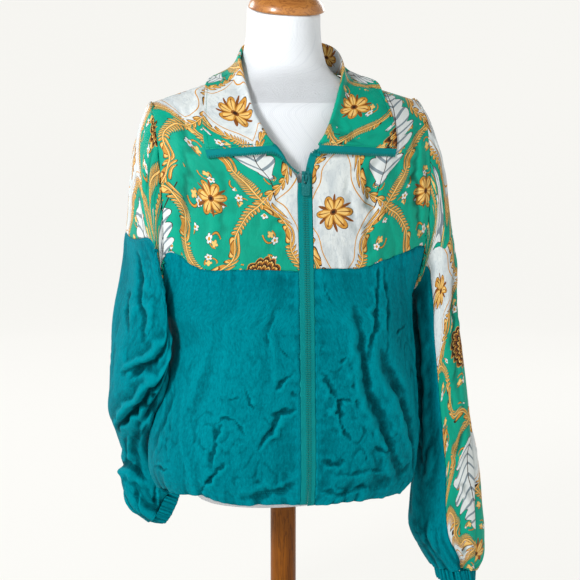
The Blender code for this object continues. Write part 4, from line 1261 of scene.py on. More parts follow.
    def ground(self, tree: bpy.types.NodeTree, streaks: Wire) -> Dye:
        """The printed colours, layer over layer, with painted crinkle shade on the
        ground and painted crease shade over all.

        Args:
            tree: the material's tree.
            streaks: not used.

        Returns:
            The cloth's dye.
        """
        cloth_x, cloth_y = flat_place(tree, "cloth")
        raw_x, raw_y = flat_place(tree, "print")
        x = raw_x + (self.SWAY.over(raw_x, raw_y) - 0.5) * self.sway
        y = raw_y + (self.DRIFT.over(raw_x, raw_y) - 0.5) * self.sway
        lattice = self.fields(x, y)
        plain = (lattice["x"].whole() + lattice["y"].whole()).odd()
        green = lattice["field"].over(0.0).most(plain)
        dye = Dye(tree, self.ivory)
        # painted shade of the crinkles, in mottles over the ivory and the emerald
        pale = self.PALE.over(cloth_x, cloth_y)
        dye.over(((pale - 0.45) * 2.6).held(0.8), self.ivory_shade)
        # finer painted shade of the crinkles over the ivory
        paper = self.PAPER.over(cloth_x, cloth_y)
        dye.over(((paper - 0.50) * 3.4).held(0.6), self.ivory_shade)
        lawn = Dye(tree, self.emerald)
        lawn.over(((pale - 0.45) * 2.2).held(0.8), self.emerald_shade)
        dye.over(green, lawn)
        width, height = self.lattice
        clear = lattice["across"].size().over(0.0125)
        self.blossoms(dye, x, y, green * clear)
        centre_x = (lattice["x"] + 0.5).off_middle(width)
        centre_y = (lattice["y"] + 0.5).off_middle(height)
        odd = ((lattice["x"] + 0.5).whole() + (lattice["y"] + 0.5).whole()).odd()
        even = odd.rest()
        self.fern(dye, centre_x, centre_y, 0.078, even)
        dahlia = Polar.around(centre_x, centre_y)
        self.dahlia(dye, Polar(dahlia.radius + even * 1.0, dahlia.angle), 0.031)
        self.star(dye, Polar.around(lattice["x"].off_middle(width),
                                    lattice["y"].off_middle(height)), 0.024)
        inner = (lattice["across"].size() - 0.0135).size()
        dye.over(inner.below(0.0007) * green.rest(), self.gold)
        self.garland(dye, lattice["across"], lattice["along"])
        # painted shade multiplied into the creases' hollows
        relief, _ = flat_place(tree, "hollow")
        dye.over((relief * -self.hollow_gain).held(0.8), self.deep,
                 "MULTIPLY")
        return dye


@dataclass(frozen=True)
class ZipTape:
    """Woven tape: fine ribs along it and a herringbone across, with painted shade where
    the weave is low.
    """
    name: str = "zip_tape_weave"
    slot: str = "zip_tape"
    colour: Colour = linear(0, 128, 129)
    shade: Colour = linear(0, 98, 102)
    rib: float = 0.0011
    zigzag: float = 0.0016

    WEAR = Noise((60, 22), 3, 0.6, 0.3, 2.0)

    def make(self) -> bpy.types.Material:
        """Build the material.

        Returns:
            The material.
        """
        made, tree, shader = new_material(self.name)
        x, y = flat_place(tree, "cloth")
        ribs = (x * (2 * pi / self.rib)).sine()
        zigzag = (y * (2 * pi / self.zigzag) + ribs * 0.8).sine()
        height = (ribs + zigzag) * 0.25 + 0.5
        dye = Dye(tree, self.colour)
        # painted shade where the weave is low
        dye.over((height * -1.0 + 0.6).most(0.0), self.shade)
        wear = self.WEAR.over(x, y)
        dye.over(((wear - 0.5) * 1.8).held(0.5), self.shade)
        set_inputs(shader, {"Base Color": dye, "Roughness": 0.62,
                            "Specular IOR Level": 0.08})
        bump(tree, shader, height, 0.00025)
        return made


@dataclass(frozen=True)
class Moulded:
    """Moulded or spun plastic of one colour with a fine scuff: teeth and thread."""
    name: str
    slot: str
    colour: Colour
    roughness: float = 0.35
    gloss: float = 0.04
    scale: float = 900.0

    def make(self) -> bpy.types.Material:
        """Build the material.

        Returns:
            The material.
        """
        made, tree, shader = new_material(self.name)
        place = tree.nodes.new("ShaderNodeTexCoord")
        value = grain_wire(tree, place.outputs["Object"], self.scale, 2.0)
        dye = Dye(tree, self.colour)
        darker = tuple(channel * 0.7 for channel in self.colour)
        dye.over(((value - 0.5) * 2.0).most(0.0), darker)
        set_inputs(shader, {"Base Color": dye,
                            "Roughness": value * 0.2 + (self.roughness - 0.1),
                            "Specular IOR Level": self.gloss})
        bump(tree, shader, value, 0.0001)
        return made


@dataclass(frozen=True)
class PaintedMetal:
    """Pale teal paint over cast metal, with painted highlights in random places."""
    name: str = "slider_metal"
    slot: str = "zip_metal"
    colour: Colour = linear(8, 112, 114)
    # a painted highlight's colour
    bright: Colour = linear(120, 196, 196)

    def make(self) -> bpy.types.Material:
        """Build the material.

        Returns:
            The material.
        """
        made, tree, shader = new_material(self.name)
        place = tree.nodes.new("ShaderNodeTexCoord")
        value = grain_wire(tree, place.outputs["Object"], 420.0, 4.0)
        dye = Dye(tree, self.colour)
        # painted highlights, in random patches
        dye.over(((value - 0.60) * 5.0).held(0.5), self.bright)
        set_inputs(shader, {"Base Color": dye, "Metallic": 0.55,
                            "Roughness": value * 0.25 + 0.18})
        bump(tree, shader, value, 0.00008)
        return made


@dataclass(frozen=True)
class KnitJersey:
    """White jersey over the form, in fine upright ribs, with painted shade where the
    knit is low.
    """
    name: str = "form_jersey_knit"
    slot: str = "form_jersey"
    colour: Colour = linear(224, 228, 233)
    shade: Colour = linear(200, 206, 214)
    rib: float = 0.0021
    loop: float = 0.0016

    BEND = Noise((80, 60), 1)
    SLUB = Noise((240, 12), seed=5.0)

    def make(self) -> bpy.types.Material:
        """Build the material.

        Returns:
            The material.
        """
        made, tree, shader = new_material(self.name)
        x, y = flat_place(tree, "cloth")
        ribs = (x * (2 * pi / self.rib) + self.BEND.over(x, y) * 2.0).sine()
        loops = (y * (2 * pi / self.loop) + ribs * 1.4).sine()
        height = ribs * 0.30 + loops * 0.18 + 0.5
        dye = Dye(tree, self.colour)
        # painted shade where the knit is low
        dye.over((height * -1.0 + 0.62).held(1.0), self.shade)
        slub = self.SLUB.over(x, y)
        dye.over(((slub - 0.55) * 3.0).held(0.5), self.shade)
        set_inputs(shader, {"Base Color": dye, "Roughness": 0.9,
                            "Sheen Weight": 0.25})
        bump(tree, shader, height, 0.00035)
        return made


@dataclass(frozen=True)
class VarnishedWood:
    """Turned wood under varnish, its grain along one axis."""
    name: str
    slot: str
    light: Colour
    dark: Colour
    grain: Colour
    stretch: tuple[float, float, float] = (60.0, 60.0, 5.0)
    gloss: float = 0.28
    coat: float = 0.25
    shine: float = 0.35

    def make(self) -> bpy.types.Material:
        """Build the material.

        Returns:
            The material.
        """
        made, tree, shader = new_material(self.name)
        place = tree.nodes.new("ShaderNodeTexCoord")
        scale = tree.nodes.new("ShaderNodeMapping")
        scale.inputs["Scale"].default_value = self.stretch
        tree.links.new(place.outputs["Object"], scale.inputs["Vector"])
        value = grain_wire(tree, scale.outputs[0], 1.0, 4.0, 1.1)
        pores = grain_wire(tree, scale.outputs[0], 9.0, 3.0)
        rings = (value * 9.0).part()
        dye = Dye(tree, self.light)
        dye.over(((value - 0.40) * 3.0).held(1.0), self.dark)
        dye.over(rings.below(0.25) * 0.45, self.grain)
        dye.over(((pores - 0.60) * 5.0).held(0.8), self.grain)
        set_inputs(shader, {"Base Color": dye, "Roughness": pores * 0.12 + self.gloss,
                            "Specular IOR Level": self.shine,
                            "Coat Weight": self.coat, "Coat Roughness": 0.12})
        bump(tree, shader, pores, 0.00012)
        return made


Finish = CrinkledNylon | ZipTape | Moulded | PaintedMetal | KnitJersey | VarnishedWood


class Wardrobe:
    """Every finish, each made once."""

    def __init__(self) -> None:
        """Name the finishes."""
        self.teal = CrinkledNylon()
        self.print = PrintedNylon()
        self.tape = ZipTape()
        self.teeth = Moulded("zip_teeth_plastic", "zip_tape", linear(14, 112, 108),
                             0.34, 0.16)
        self.teal_thread = Moulded("teal_thread", "teal_cloth", linear(4, 112, 122),
                                   0.6)
        self.green_thread = Moulded("green_thread", "printed_cloth",
                                    linear(0, 122, 100), 0.6)
        self.metal = PaintedMetal()
        self.jersey = KnitJersey()
        self.cap_wood = VarnishedWood("cap_wood_grain", "cap_wood",
                                      linear(176, 116, 56), linear(140, 82, 34),
                                      linear(104, 56, 22), (26.0, 26.0, 60.0))
        self.dark_wood = VarnishedWood("pole_wood_grain", "dark_wood",
                                       linear(124, 70, 10), linear(96, 50, 6),
                                       linear(58, 27, 4), coat=0.06, shine=0.12)
        self.made: dict[str, bpy.types.Material] = {}

    def dress(self, piece: bpy.types.Object, finish: Finish) -> None:
        """Give a piece a finish.

        Args:
            piece: the piece.
            finish: its finish.
        """
        if finish.name not in self.made:
            self.made[finish.name] = finish.make()
        piece.data.materials.clear()
        piece.data.materials.append(self.made[finish.name])


# ---------------------------------------------------------------- cloth

@dataclass(frozen=True)
class Crease:
    """A ridge along a path on a panel, with a trough down one side.

    The path is in shares of the panel; height and width are in metres, and a
    negative height is a trough. The ridge wanders off its path, and its width and
    height are uneven; a wide one is smoother than a narrow one. The rates are in
    waves a metre."""
    path: tuple[tuple[float, float], ...]
    height: float
    width: float
    lean: float = 0.6

    NARROW = 0.0040
    WANDER_RATE, WANDER_WIDTHS, WANDER_MOST = 30, 1.5, 0.0050
    JAGGED_RATE, JAGGED_OFF = 130, 0.0034
    UNEVEN_RATE = 62
    BEYOND_WIDTHS = 1.5
    TROUGH_OFF, TROUGH_WIDTH = 1.5, 0.9

    def over(self, flat: np.ndarray, shares: np.ndarray,
             size: tuple[float, float]) -> np.ndarray:
        """The height that the crease adds.

        Args:
            flat: the panel's flat points, whose wandering bends the crease.
            shares: the points' shares across and along.
            size: the panel's width and length.

        Returns:
            The added height, rows by columns.
        """
        seed = self.path[0][0] * 13 + self.path[-1][1] * 7
        rough = min(1.0, self.NARROW / self.width)
        wander = (noise_over(flat, (self.WANDER_RATE, self.WANDER_RATE), seed)
                  * min(self.width * self.WANDER_WIDTHS, self.WANDER_MOST))
        jagged = (noise_over(flat, (self.JAGGED_RATE, self.JAGGED_RATE), seed + 4.0)
                  * self.JAGGED_OFF * rough)
        uneven = (noise_over(flat, (self.UNEVEN_RATE, self.UNEVEN_RATE), seed + 6.0)
                  * rough)
        flat = shares * np.array(size)
        path = np.array(self.path) * np.array(size)
        steps = np.linalg.norm(np.diff(path, axis=0), axis=1)
        total = steps.sum()
        best = np.full(flat.shape[:2], np.inf)
        signed = np.zeros(flat.shape[:2])
        along = np.zeros(flat.shape[:2])
        walked = 0.0
        for start, end, length in zip(path[:-1], path[1:], steps):
            line = (end - start) / length
            rel = flat - start
            t = np.clip(rel @ line, 0.0, length)
            off = rel - t[..., None] * line
            distance = np.linalg.norm(off, axis=2)
            nearer = distance < best
            side = np.sign(rel[..., 0] * line[1] - rel[..., 1] * line[0])
            best = np.where(nearer, distance, best)
            signed = np.where(nearer, distance * side, signed)
            along = np.where(nearer, (walked + t) / total, along)
            walked += length
        fade = np.sin(np.pi * np.clip(along * 0.92 + 0.04, 0, 1)) ** 0.7
        beyond = np.where((along <= 0.0) | (along >= 1.0), best, 0.0)
        fade = fade * np.exp(-((beyond / (self.width * self.BEYOND_WIDTHS)) ** 2))
        width = self.width * np.clip(0.9 + uneven * 1.2, 0.5, 1.5) * (0.6 + 0.4 * fade)
        signed = signed + wander + jagged
        ridge = np.exp(-((signed / width) ** 2))
        beside = (signed - self.TROUGH_OFF * width) / (self.TROUGH_WIDTH * width)
        height = self.height * fade * np.clip(0.9 + uneven * 1.3, 0.3, 1.3)
        return height * (ridge - self.lean * np.exp(-(beside**2)))


@dataclass(frozen=True)
class Crumple:
    """A patch of small sharp creases that break off here and there.

    Its middle is in shares of the panel, the rest in metres."""
    middle: tuple[float, float]
    radius: float
    height: float
    pitch: float = 0.011

    SWAY_RATE, SWAY = 40, 0.008
    SWELL, DEPTH = 0.12, 0.50

    def over(self, flat: np.ndarray, shares: np.ndarray,
             size: tuple[float, float]) -> np.ndarray:
        """The height that the patch adds.

        Args:
            flat: the panel's flat points in metres.
            shares: the points' shares across and along.
            size: the panel's width and length.

        Returns:
            The added height, rows by columns.
        """
        off = (shares - np.array(self.middle)) * np.array(size)
        near = np.exp(-((off**2).sum(axis=2) / self.radius**2))
        seed = self.middle[0] * 31 + self.middle[1] * 17
        sway = noise_over(flat, (self.SWAY_RATE, self.SWAY_RATE), seed)
        sway = sway[..., None] * self.SWAY
        rate = 1 / self.pitch
        waves = np.abs(noise_over(flat + sway, (rate * 0.62, rate * 0.40), seed + 2.0))
        lines = (1 - np.minimum(waves * 4.6, 1.0)) ** 1.3
        gone = noise_over(flat, (rate * 0.5, rate * 0.5), seed + 5.0)
        lines = lines * np.clip(0.6 + gone * 2.2, 0.0, 1.0)
        return self.height * near * (self.SWELL - lines * self.DEPTH)


@dataclass(frozen=True)
class Gather:
    """Uneven ruches that stand square to an edge and die away from it."""
    edge: Edge
    depth: float
    reach: float
    pitch: float
    seed: float


@dataclass(frozen=True)
class Layer:
    """What a panel lies on, and how far off it stays."""
    face: BVHTree
    clearance: float
    first_row: float = 0.0


def sample(points: np.ndarray, shares: np.ndarray, axis: int) -> np.ndarray:
    """Read an evenly spaced grid smoothly at other shares along an axis.

    Args:
        points: the grid.
        shares: where to read, from 0 to 1.
        axis: 0 for rows, 1 for columns.

    Returns:
        The grid at those shares.
    """
    points = np.moveaxis(points, axis, 0)
    slopes = np.gradient(points, axis=0)
    last = len(points) - 1
    place = shares * last
    low = np.clip(np.floor(place).astype(int), 0, last - 1)
    t = (place - low).reshape(-1, *([1] * (points.ndim - 1)))
    value = smooth_between(points[low], points[low + 1], slopes[low], slopes[low + 1],
                           t)
    return np.moveaxis(value, 0, axis)


def stations(length: float, spacing: float, fine_ends: bool) -> np.ndarray:
    """Shares along a side, closer together at its ends.

    Args:
        length: the side's length.
        spacing: the usual step.
        fine_ends: whether the ends are fine.

    Returns:
        The shares, from 0 to 1.
    """
    if not fine_ends:
        return np.linspace(0, 1, max(2, round(length / spacing)) + 1)
    *ends, inset = END_STATIONS
    steps = max(2, round((length - 2 * inset) / spacing))
    inner = np.linspace(inset, length - inset, steps + 1)
    far_ends = [length - end for end in reversed(ends)]
    return np.array([*ends, *inner, *far_ends]) / length


def noise_over(flat: np.ndarray, per_metre: tuple[float, float],
               seed: float) -> np.ndarray:
    """Smooth noise over a panel's flat points.

    Args:
        flat: the flat points, in metres.
        per_metre: how many waves a metre, across and along.
        seed: the noise's slice.

    Returns:
        Values round 0, rows by columns.
    """
    values = [noise.noise((x * per_metre[0], y * per_metre[1], seed))
              for x, y in flat.reshape(-1, 2)]
    return np.array(values).reshape(flat.shape[:2])


@dataclass(frozen=True)
class Streaks:
    """Upright ridges all over a panel, their rates in waves a metre."""
    rates: tuple[float, float]
    sharpness: float
    gain: float
    seed: float

    def over(self, flat: np.ndarray, seed: float) -> np.ndarray:
        """The height that the ridges add, in the panel's own rumple.

        Args:
            flat: the panel's flat points, in metres.
            seed: the panel's slice of the noise.

        Returns:
            The height, rows by columns.
        """
        off = np.abs(noise_over(flat, self.rates, seed + self.seed))
        return (1 - np.minimum(off * self.sharpness, 1)) ** 2 * self.gain


@dataclass
class ClothPanel:
    """One cut panel of cloth: its surface, creases, edges and finish."""
    name: str
    node: str
    surface: Surface
    inside: Vector
    finish: CrinkledNylon
    coarse: tuple[int, int] = (26, 34)
    spacing: float = 0.003
    thickness: float = 0.0006
    creases: tuple[Crease | Crumple, ...] = ()
    gathers: tuple[Gather, ...] = ()
    seams: str = ""
    tucked: str = ""
    layers: tuple[Layer, ...] = ()
    print_place: tuple[float, float, float] = (0.0, 0.0, 0.0)
    rumple: float = 0.0010
    closed: bool = False
    held: str = "draped"
    groove: float = 0.0007
    least_fill: float = 0.32
    tuck: float = 0.0048
    # how the relief that the materials paint shade and highlights from is smoothed
    hollow_blur: int = 7
    wide_blur: int = 80
    wide_share: float = 0.42
    seam_fade: float = 0.007
    groove_width: float = 0.0017
    lay_reach: float = 0.02
    lay_square: float = 0.7
    grid: np.ndarray = field(default=None, repr=False)
    normal: np.ndarray = field(default=None, repr=False)
    flat_size: tuple[float, float] = (0.0, 0.0)

    SWAY_RATES, SWAY = (9, 9), 0.020
    BROAD_RATES, BROAD_GAIN = (15, 6.5), 2.8
    FILL_RATES = (7, 6)
    RIDGES = Streaks((30, 9), 3.4, 1.0, 5.0)
    FURROWS = Streaks((74, 25), 3.0, -0.42, 8.0)

    def outward(self, grid: np.ndarray) -> tuple[np.ndarray, float]:
        """The grid's unit normals, facing out.

        Args:
            grid: rows by columns by three.

        Returns:
            The normals, and -1 if the grid's own order faces in, else 1.
        """
        if self.closed:
            open_grid = grid[:, :-1]
            across = np.roll(open_grid, -1, axis=1) - np.roll(open_grid, 1, axis=1)
            across = np.concatenate([across, across[:, :1]], axis=1)
        else:
            across = np.gradient(grid, axis=1)
        normal = np.cross(across, np.gradient(grid, axis=0))
        normal /= np.maximum(np.linalg.norm(normal, axis=2, keepdims=True), 1e-12)
        j, i = grid.shape[0] // 2, grid.shape[1] // 2
        facing = float(normal[j, i] @ (grid[j, i] - np.array(self.inside)))
        sign = 1.0 if facing > 0 else -1.0
        return normal * sign, sign

    @staticmethod
    def unrolled(grid: np.ndarray) -> np.ndarray:
        """Where each point is along its own row and column, in metres.

        Args:
            grid: the points, rows by columns.

        Returns:
            The flat places, rows by columns.
        """
        across = np.linalg.norm(np.diff(grid, axis=1), axis=2)
        along = np.linalg.norm(np.diff(grid, axis=0), axis=2)
        x = np.pad(across.cumsum(axis=1), ((0, 0), (1, 0)))
        y = np.pad(along.cumsum(axis=0), ((1, 0), (0, 0)))
        return np.stack([x - x[:, -1:] / 2 + x[:, -1].mean() / 2, y], axis=2)

    @staticmethod
    def blurred(height: np.ndarray, passes: int) -> np.ndarray:
        """The heights, each pass mixed with their neighbours.

        Args:
            height: the heights.
            passes: how many passes.

        Returns:
            The heights.
        """
        for _ in range(passes):
            wide = np.pad(height, 1, mode="edge")
            height = (wide[1:-1, 1:-1] * 2 + wide[:-2, 1:-1] + wide[2:, 1:-1]
                      + wide[1:-1, :-2] + wide[1:-1, 2:]) / 6
        return height

    def heights(self, flat: np.ndarray, shares: np.ndarray,
                size: tuple[float, float]) -> np.ndarray:
        """How far the cloth stands off its plain surface.

        Args:
            flat: the flat points in metres.
            shares: the points' shares across and along.
            size: the panel's width and length.

        Returns:
            Heights, rows by columns.
        """
        seed = sum(ord(letter) for letter in self.name) * 0.37
        sway = noise_over(flat, self.SWAY_RATES, seed + 3.0)[..., None] * self.SWAY
        swayed = flat + sway
        broad = noise_over(swayed, self.BROAD_RATES, seed)
        ridges, furrows = (streaks.over(swayed, seed)
                           for streaks in (self.RIDGES, self.FURROWS))
        fill = noise_over(flat, self.FILL_RATES, seed + 11.0)
        fill = np.clip(0.55 + fill * 1.6, 0.15, 1.2)
        height = self.rumple * (broad * self.BROAD_GAIN + ridges * fill
                                + furrows * fill)
        for crease in self.creases:
            height = height + crease.over(flat, shares, size)
        x, y = flat[..., 0], flat[..., 1]
        to_edge = {Edge.START: x - x[:, :1], Edge.END: x[:, -1:] - x,
                   Edge.BOTTOM: y, Edge.TOP: y[-1:] - y}
        nearest = np.full(flat.shape[:2], 1.0)
        for edge in Edge:
            if edge.value in self.seams:
                nearest = np.minimum(nearest, to_edge[edge])
        height *= 1 - np.exp(-((nearest / self.seam_fade) ** 2))
        for gather in self.gathers:
            off = to_edge[gather.edge]
            runs_up = gather.edge in (Edge.BOTTOM, Edge.TOP)
            rate = (1 / gather.pitch, 5.0) if runs_up else (5.0, 1 / gather.pitch)
            waves = noise_over(flat, rate, gather.seed)
            rise = np.exp(-((off / gather.reach) ** 1.3))
            height += gather.depth * waves * 1.8 * rise
        return height - self.groove * np.exp(-((nearest / self.groove_width) ** 2))

    def lay(self, grid: np.ndarray) -> None:
        """Push the grid's points off what is under them, smoothly.

        Args:
            grid: the points, rows by columns.
        """
        rows, columns = grid.shape[:2]
        for layer in self.layers:
            first = round(layer.first_row * (rows - 1))
            for _ in range(2):
                move = np.zeros_like(grid)
                for j in range(first, rows):
                    for i in range(columns):
                        point = Vector(grid[j, i])
                        near, normal, _, distance = layer.face.find_nearest(
                            point, self.lay_reach)
                        if near is None:
                            continue
                        height = (point - near).dot(normal)
                        if (height >= layer.clearance
                                or abs(height) < self.lay_square * distance):
                            continue
                        move[j, i] = normal * (layer.clearance - height)
                grid += move

    def build(self, wardrobe: Wardrobe) -> bpy.types.Object:
        """Args:
            wardrobe: the finishes.

        Returns:
            The piece.
        """
        columns, rows = self.coarse
        points = np.array([[tuple(self.surface(i / columns, j / rows))
                            for i in range(columns + 1)] for j in range(rows + 1)])
        widths = np.linalg.norm(np.diff(points, axis=1), axis=2).sum(axis=1)
        lengths = np.linalg.norm(np.diff(points, axis=0), axis=2).sum(axis=0)
        size = (float(widths.mean()), float(lengths.mean()))
        us = stations(size[0], self.spacing, not self.closed)
        vs = stations(size[1], self.spacing, True)
        grid = sample(sample(points, us, 1), vs, 0)
        shares = np.stack(np.meshgrid(us, vs), axis=2)
        flat = self.unrolled(grid)
        plain_area = self.area_of(grid)
        normal, sign = self.outward(grid)
        height = self.heights(flat, shares, size)
        if self.closed:
            height[:, -1] = height[:, 0]
        # the crease relief, kept in the hollow UV layer, from which the materials paint
        # shade and highlights
        near = self.blurred(height, self.hollow_blur)
        wide = self.blurred(near, self.wide_blur)
        hollow = height - near + (near - wide) * self.wide_share
        grid = grid + normal * height[..., None]
        self.lay(grid)
        normal, sign = self.outward(grid)
        self.grid, self.normal = grid, normal
        beside = self.tuck * sum(letter in "lr" for letter in self.tucked)
        beyond = self.tuck * sum(letter in "tb" for letter in self.tucked)
        plain_area += size[1] * beside + size[0] * beyond
        length = float(lengths.max()) + beyond
        chord = plain_area / (self.least_fill * length)
        self.flat_size = (min(float(widths.max()) + beside, chord), length)
        flat = np.concatenate([flat, hollow[..., None]], axis=2)
        grid, flat = self.with_tucks(grid, normal, flat)
        piece = self.mesh_of(grid, flat, sign < 0)
        shell = piece.modifiers.new("wall", "SOLIDIFY")
        shell.thickness = self.thickness
        shell.offset = -1
        wardrobe.dress(piece, self.finish)
        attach(piece, JACKET_BODY)
        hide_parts(self.node)
        LOG.info("%s: %.3f x %.3f m, %d points", self.name, *self.flat_size,
                 len(piece.data.vertices))
        return piece

    @staticmethod
    def area_of(grid: np.ndarray) -> float:
        """A grid's area.

        Args:
            grid: the points, rows by columns.

        Returns:
            The area, in square metres.
        """
        a = grid[1:, 1:] - grid[:-1, :-1]
        b = grid[1:, :-1] - grid[:-1, 1:]
        return float(np.linalg.norm(np.cross(a, b), axis=2).sum() / 2)

    def with_tucks(self, grid: np.ndarray, normal: np.ndarray,
                   flat: np.ndarray) -> tuple[np.ndarray, np.ndarray]:
        """Run the tucked edges on, down and under the next panel.

        Args:
            grid, normal, flat: the panel's points, normals and flat points.

        Returns:
            The longer grid and flat points.
        """
        steps = ((0.0006, 0.0010), (self.tuck - 0.0003, 0.0017))
        for letter in self.tucked:
            axis = 1 if letter in "lr" else 0
            end = -1 if letter in "rt" else 0
            beside = -4 if end else 3
            edge = np.take(grid, end, axis)
            away = edge - np.take(grid, beside, axis)
            away /= np.maximum(np.linalg.norm(away, axis=-1, keepdims=True), 1e-9)
            down = np.take(normal, end, axis)
            flat_edge = np.take(flat, end, axis)
            flat_away = np.zeros(3)
            flat_away[0 if axis == 1 else 1] = 1.0 if end else -1.0
            extra = [edge + away * out - down * drop for out, drop in steps]
            flat_extra = [flat_edge + flat_away * out for out, _ in steps]
            if end == 0:
                extra, flat_extra = extra[::-1], flat_extra[::-1]
            order = 1 if end else -1
            grid, flat, normal = (
                np.concatenate([old, np.stack(new, axis)][::order], axis)
                for old, new in ((grid, extra), (flat, flat_extra),
                                 (normal, [down] * len(steps))))
        return grid, flat

    def mesh_of(self, grid: np.ndarray, flat: np.ndarray,
                flip: bool) -> bpy.types.Object:
        """A quad mesh with its two UV layers.

        Args:
            grid: the points.
            flat: the flat points, in metres.
            flip: whether the faces are turned round.

        Returns:
            The linked object.
        """
        rows, columns = grid.shape[:2]
        wide = columns - 1 if self.closed else columns
        vertices = [tuple(point) for point in grid[:, :wide].reshape(-1, 3)]
        shift_x, shift_y, turn = self.print_place
        c, s = cos(radians(turn)), sin(radians(turn))
        printed = np.stack([flat[..., 0] * c - flat[..., 1] * s + shift_x,
                            flat[..., 0] * s + flat[..., 1] * c + shift_y], axis=2)
        faces, corners = [], []
        for j in range(rows - 1):
            for i in range(columns - 1):
                places = [(j, i), (j, i + 1), (j + 1, i + 1), (j + 1, i)]
                places = places[::-1] if flip else places
                faces.append([a * wide + b % wide for a, b in places])
                corners += places
        mesh = bpy.data.meshes.new(self.name)
        mesh.from_pydata(vertices, [], faces)
        index = np.array(corners)
        # the third layer carries the relief that the materials paint shade and
        # highlights from
        hollow = np.stack([flat[..., 2] * 1000, np.zeros(flat.shape[:2])], axis=2)
        for layer, source in (("cloth", flat[..., :2]), ("print", printed),
                              ("hollow", hollow)):
            values = source[index[:, 0], index[:, 1]]
            uv = mesh.uv_layers.new(name=layer)
            uv.data.foreach_set("uv", values.astype(np.float32).ravel())
        mesh.shade_smooth()
        return linked(self.name, mesh)

    def faces(self) -> BVHTree:
        """The panel's outer face, as something to lay cloth on.

        Returns:
            The face.
        """
        rows, columns = self.grid.shape[:2]
        vertices = [Vector(point) for point in self.grid.reshape(-1, 3)]
        j, i = rows // 2, columns // 2
        across = self.grid[j, i + 1] - self.grid[j, i]
        along = self.grid[j + 1, i] - self.grid[j, i]
        forward = float(np.cross(across, along) @ self.normal[j, i]) > 0
        polygons = []
        for j in range(rows - 1):
            for i in range(columns - 1):
                k = j * columns + i
                face = [k, k + 1, k + columns + 1, k + columns]
                polygons.append(face if forward else face[::-1])
        return BVHTree.FromPolygons(vertices, polygons)

    def line(self, edge: Edge, off: float, start: float = 0.0,
             end: float = 1.0) -> tuple[np.ndarray, np.ndarray]:
        """A line on the cloth beside an edge, for sewing.

        Args:
            edge: the edge.
            off: how far in from it, in metres.
            start, end: the shares of the line that are wanted.

        Returns:
            The line's points and the cloth's normals there.
        """
        crosswise = edge in (Edge.BOTTOM, Edge.TOP)
        grid = self.grid if crosswise else np.swapaxes(self.grid, 0, 1)
        normal = self.normal if crosswise else np.swapaxes(self.normal, 0, 1)
        if edge in (Edge.TOP, Edge.END):
            grid, normal = grid[::-1], normal[::-1]
        depth = np.linalg.norm(np.diff(grid, axis=0), axis=2).mean(axis=1).cumsum()
        row = int(np.searchsorted(depth, off)) + 1
        last = grid.shape[1] - 1
        low, high = round(start * last), round(end * last)
        return grid[row, low:high + 1], normal[row, low:high + 1]


# ---------------------------------------------------------------- small repeated things

def mesh_piece(name: str, vertices: Iterable, faces: Iterable, smooth: bool = True,
               body: str = JACKET_BODY) -> bpy.types.Object:
    """A linked piece of points and faces that rides on a body.

    Args:
        name: the piece's name.
        vertices, faces: its points and faces.
        smooth: whether it is shaded smooth.
        body: the body that it rides on.

    Returns:
        The piece.
    """
    mesh = bpy.data.meshes.new(name)
    mesh.from_pydata([tuple(v) for v in vertices], [], [list(f) for f in faces])
    if smooth:
        mesh.shade_smooth()
    piece = linked(name, mesh)
    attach(piece, body)
    return piece


def evenly(points: np.ndarray, normals: np.ndarray, pitch: float,
           first: float = 0.5) -> list[tuple[Vector, Vector, Vector]]:
    """Places along a line at an even pitch.

    Args:
        points, normals: the line.
        pitch: the step, in metres.
        first: the first place, in steps.

    Returns:
        For each place its point, its direction and its normal.
    """
    steps = np.linalg.norm(np.diff(points, axis=0), axis=1)
    walked = np.concatenate([[0], steps.cumsum()])
    places = []
    for distance in np.arange(pitch * first, walked[-1], pitch):
        i = min(int(np.searchsorted(walked, distance)), len(points) - 1)
        t = (distance - walked[i - 1]) / max(walked[i] - walked[i - 1], 1e-9)
        point = points[i - 1] * (1 - t) + points[i] * t
        normal = Vector(normals[i - 1] * (1 - t) + normals[i] * t).normalized()
        along = Vector(points[i] - points[i - 1]).normalized()
        places.append((Vector(point), along, normal))
    return places


@dataclass
class Sewing:
    """Rows of lock stitches, joined into one piece."""
    name: str
    pitch: float = 0.0030
    length: float = 0.0021
    radius: float = 0.00030
    sides: int = 6
    lift: float = 0.00012
    vertices: list = field(default_factory=list)
    faces: list = field(default_factory=list)

    # a stitch's rings: the share of its length and of its radius
    PROFILE = ((-0.5, 0.25), (-0.36, 0.9), (0.0, 1.1), (0.36, 0.9), (0.5, 0.25))

    def run(self, points: np.ndarray, normals: np.ndarray) -> None:
        """Sew a row.

        Args:
            points: the row's line on the cloth.
            normals: the cloth's normals along it.
        """
        for point, along, up in evenly(points, normals, self.pitch):
            across = up.cross(along).normalized()
            self.faces += lofted(len(self.vertices), len(self.PROFILE), self.sides)
            for share, thick in self.PROFILE:
                for i in range(self.sides):
                    angle = 2 * pi * i / self.sides
                    self.vertices.append(
                        point + up * self.lift + along * self.length * share
                        + (across * cos(angle) + up * sin(angle)) * self.radius * thick)

    def build(self, wardrobe: Wardrobe, finish: Moulded) -> bpy.types.Object:
        """Make the piece.

        Args:
            wardrobe: the finishes.
            finish: its finish.

        Returns:
            The piece.
        """
        piece = mesh_piece(self.name, self.vertices, self.faces)
        wardrobe.dress(piece, finish)
        LOG.info("%s: %d stitches", self.name,
                 len(self.vertices) // (len(self.PROFILE) * self.sides))
        return piece


